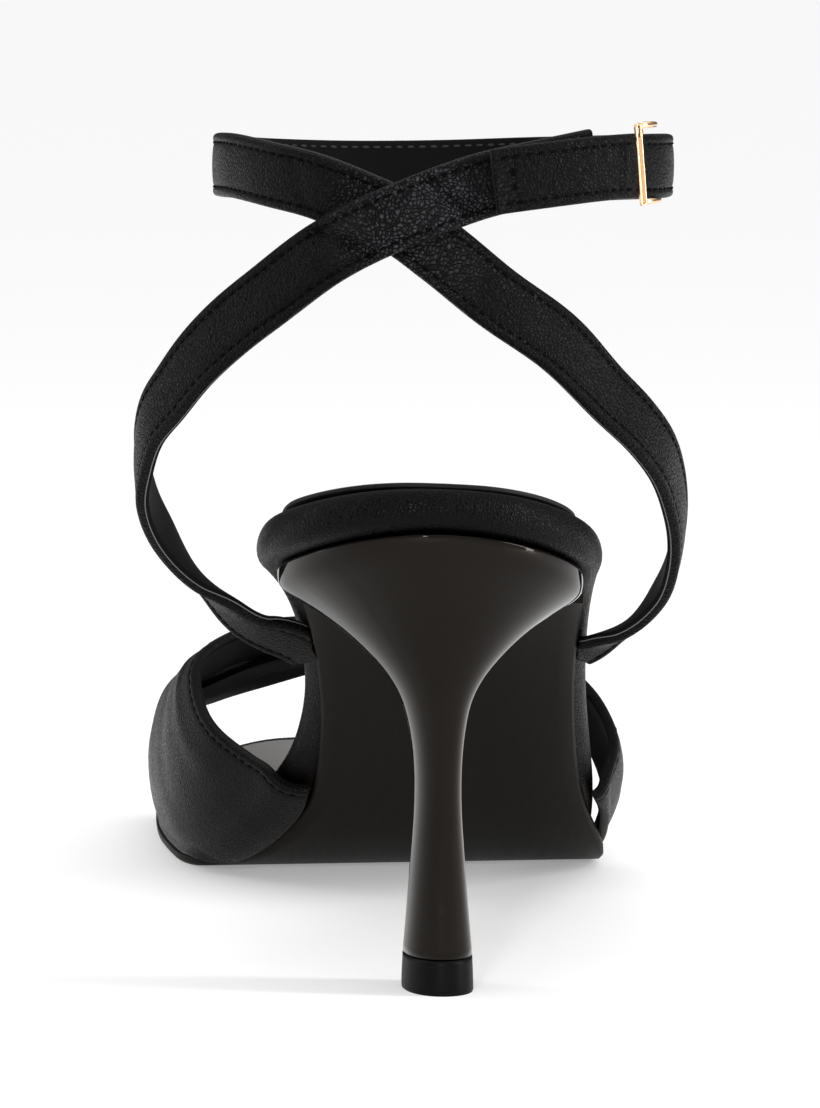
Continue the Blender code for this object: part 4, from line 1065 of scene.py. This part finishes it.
frameFaces = loopFaces + [tuple(i + offset for i in corners) for corners in bowFaces]
buckleFrame = makePiece("buckleFrame", np.concatenate([loopPoints, bowPoints]), frameFaces, [gold])
pointOutwards(buckleFrame)
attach(buckleFrame, "root")
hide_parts("buckle")
plateFoot = near - up * (half - buckle["plateInset"])
plateRise = up * (2 * half - buckle["plateInset"] - buckle["slot"])
thin = face[nearAt] * buckle["plateThick"]
side = wide * (gap - buckle["plateGap"])
corners = [plateFoot - thin - side, plateFoot - thin + side, plateFoot + thin + side, plateFoot + thin - side]
platePoints = corners + [corner + plateRise for corner in corners]
plateFaces = [(0, 1, 2, 3), (4, 7, 6, 5), (0, 4, 5, 1), (1, 5, 6, 2), (2, 6, 7, 3), (3, 7, 4, 0)]
backPlate = makePiece("buckleBack", platePoints, plateFaces, [tanPlate])
pointOutwards(backPlate)
backPlate.data.polygons.foreach_set("use_smooth", [False] * len(plateFaces))
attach(backPlate, "root")

# the next hole of the strap, seen at a slant beyond the buckle
hole = {"place": 0.9185, "radius": 0.75 * mm, "raise": 0.3 * mm, "sink": 0.1 * mm, "points": 24}
holeAt = int(round(hole["place"] * 400))
turn = np.linspace(0, 2 * math.pi, hole["points"], endpoint=False)[:, None]
spot = centre[holeAt] + face[holeAt] * (wall * 1.1) + across[holeAt] * hole["raise"]
rim = spot + (np.cos(turn) * across[holeAt] + np.sin(turn) * run[holeAt]) * hole["radius"]
holePoints = np.concatenate([rim, [spot - face[holeAt] * hole["sink"]]])
holeFaces = [(i, (i + 1) % hole["points"], hole["points"]) for i in range(hole["points"])]
holePiece = makePiece("strapHole", holePoints, holeFaces, [inkedEdge])
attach(holePiece, "root")
print("buckle made")


studio = {
    "cameraAt": (-0.1091, -0.994, 0.18),
    "tiltDown": 6.16,
    "turn": -6.0,
    "lens": 199.5,
    "room": 1.75,
    "roomShade": ((0.0, 0.04), (0.5, 0.18), (1.0, 1.0)),  # from the horizon to straight up
    "floorGlow": 0.29,
    "floorShade": 0.74,
    "floorReach": 30,
}

stageMesh = bpy.data.meshes.new("studioFloor")
far = studio["floorReach"]
stageMesh.from_pydata([(-far, -far, 0), (far, -far, 0), (far, far, 0), (-far, far, 0)], [], [(0, 1, 2, 3)])
floor = bpy.data.objects.new("studioFloor", stageMesh)
bpy.context.scene.collection.objects.link(floor)
floorPaint = Paint("paleFloor")
floorPaint.set(Base_Color=(studio["floorShade"],) * 3, Roughness=0.9,
               Emission_Color=(1.0, 1.0, 1.0), Emission_Strength=studio["floorGlow"])
stageMesh.materials.append(floorPaint.material)

room = bpy.data.worlds.new("studioRoom")
room.use_nodes = True
roomTree = room.node_tree
sky = roomTree.nodes["Background"]
sky.inputs["Strength"].default_value = studio["room"]
look = roomTree.nodes.new("ShaderNodeTexCoord")
parts = roomTree.nodes.new("ShaderNodeSeparateXYZ")
shade = roomTree.nodes.new("ShaderNodeValToRGB")
setStops(shade.color_ramp, studio["roomShade"])
roomTree.links.new(look.outputs["Generated"], parts.inputs[0])
roomTree.links.new(parts.outputs["Z"], shade.inputs["Fac"])
roomTree.links.new(shade.outputs["Color"], sky.inputs["Color"])
bpy.context.scene.world = room

lamps = {
    "leftBox": {"at": (-0.8, 0.36, 0.3), "aim": (0, 0.03, 0.1), "size": (0.13, 0.8), "watts": 2.0},
    "rightBox": {"at": (0.82, -0.2, 0.3), "aim": (0, 0.03, 0.1), "size": (0.12, 0.8), "watts": 7.0},
    "frontBox": {"at": (-0.36, -1.3, 0.4), "aim": (0, 0, 0.12), "size": (0.14, 0.14), "watts": 8.0},
}
for name, lamp in lamps.items():
    light = bpy.data.lights.new(name, "AREA")
    light.shape = "RECTANGLE"
    light.size, light.size_y = lamp["size"]
    light.energy = lamp["watts"]
    item = bpy.data.objects.new(name, light)
    bpy.context.scene.collection.objects.link(item)
    away = np.array(lamp["at"]) - np.array(lamp["aim"])
    item.location = lamp["at"]
    slope = math.atan2(math.hypot(away[0], away[1]), away[2])
    item.rotation_euler = (slope, 0, math.atan2(away[0], -away[1]))

lens = bpy.data.cameras.new("photoCamera")
lens.lens = studio["lens"]
lens.sensor_width = 36
lens.clip_start = 0.05
lens.clip_end = 100
camera = bpy.data.objects.new("photoCamera", lens)
bpy.context.scene.collection.objects.link(camera)
camera.location = studio["cameraAt"]
camera.rotation_euler = (math.radians(90 - studio["tiltDown"]), 0, math.radians(studio["turn"]))
bpy.context.scene.camera = camera
bpy.context.scene.view_settings.view_transform = "Standard"
print("floor, light and camera set")

bpy.context.view_layer.update()
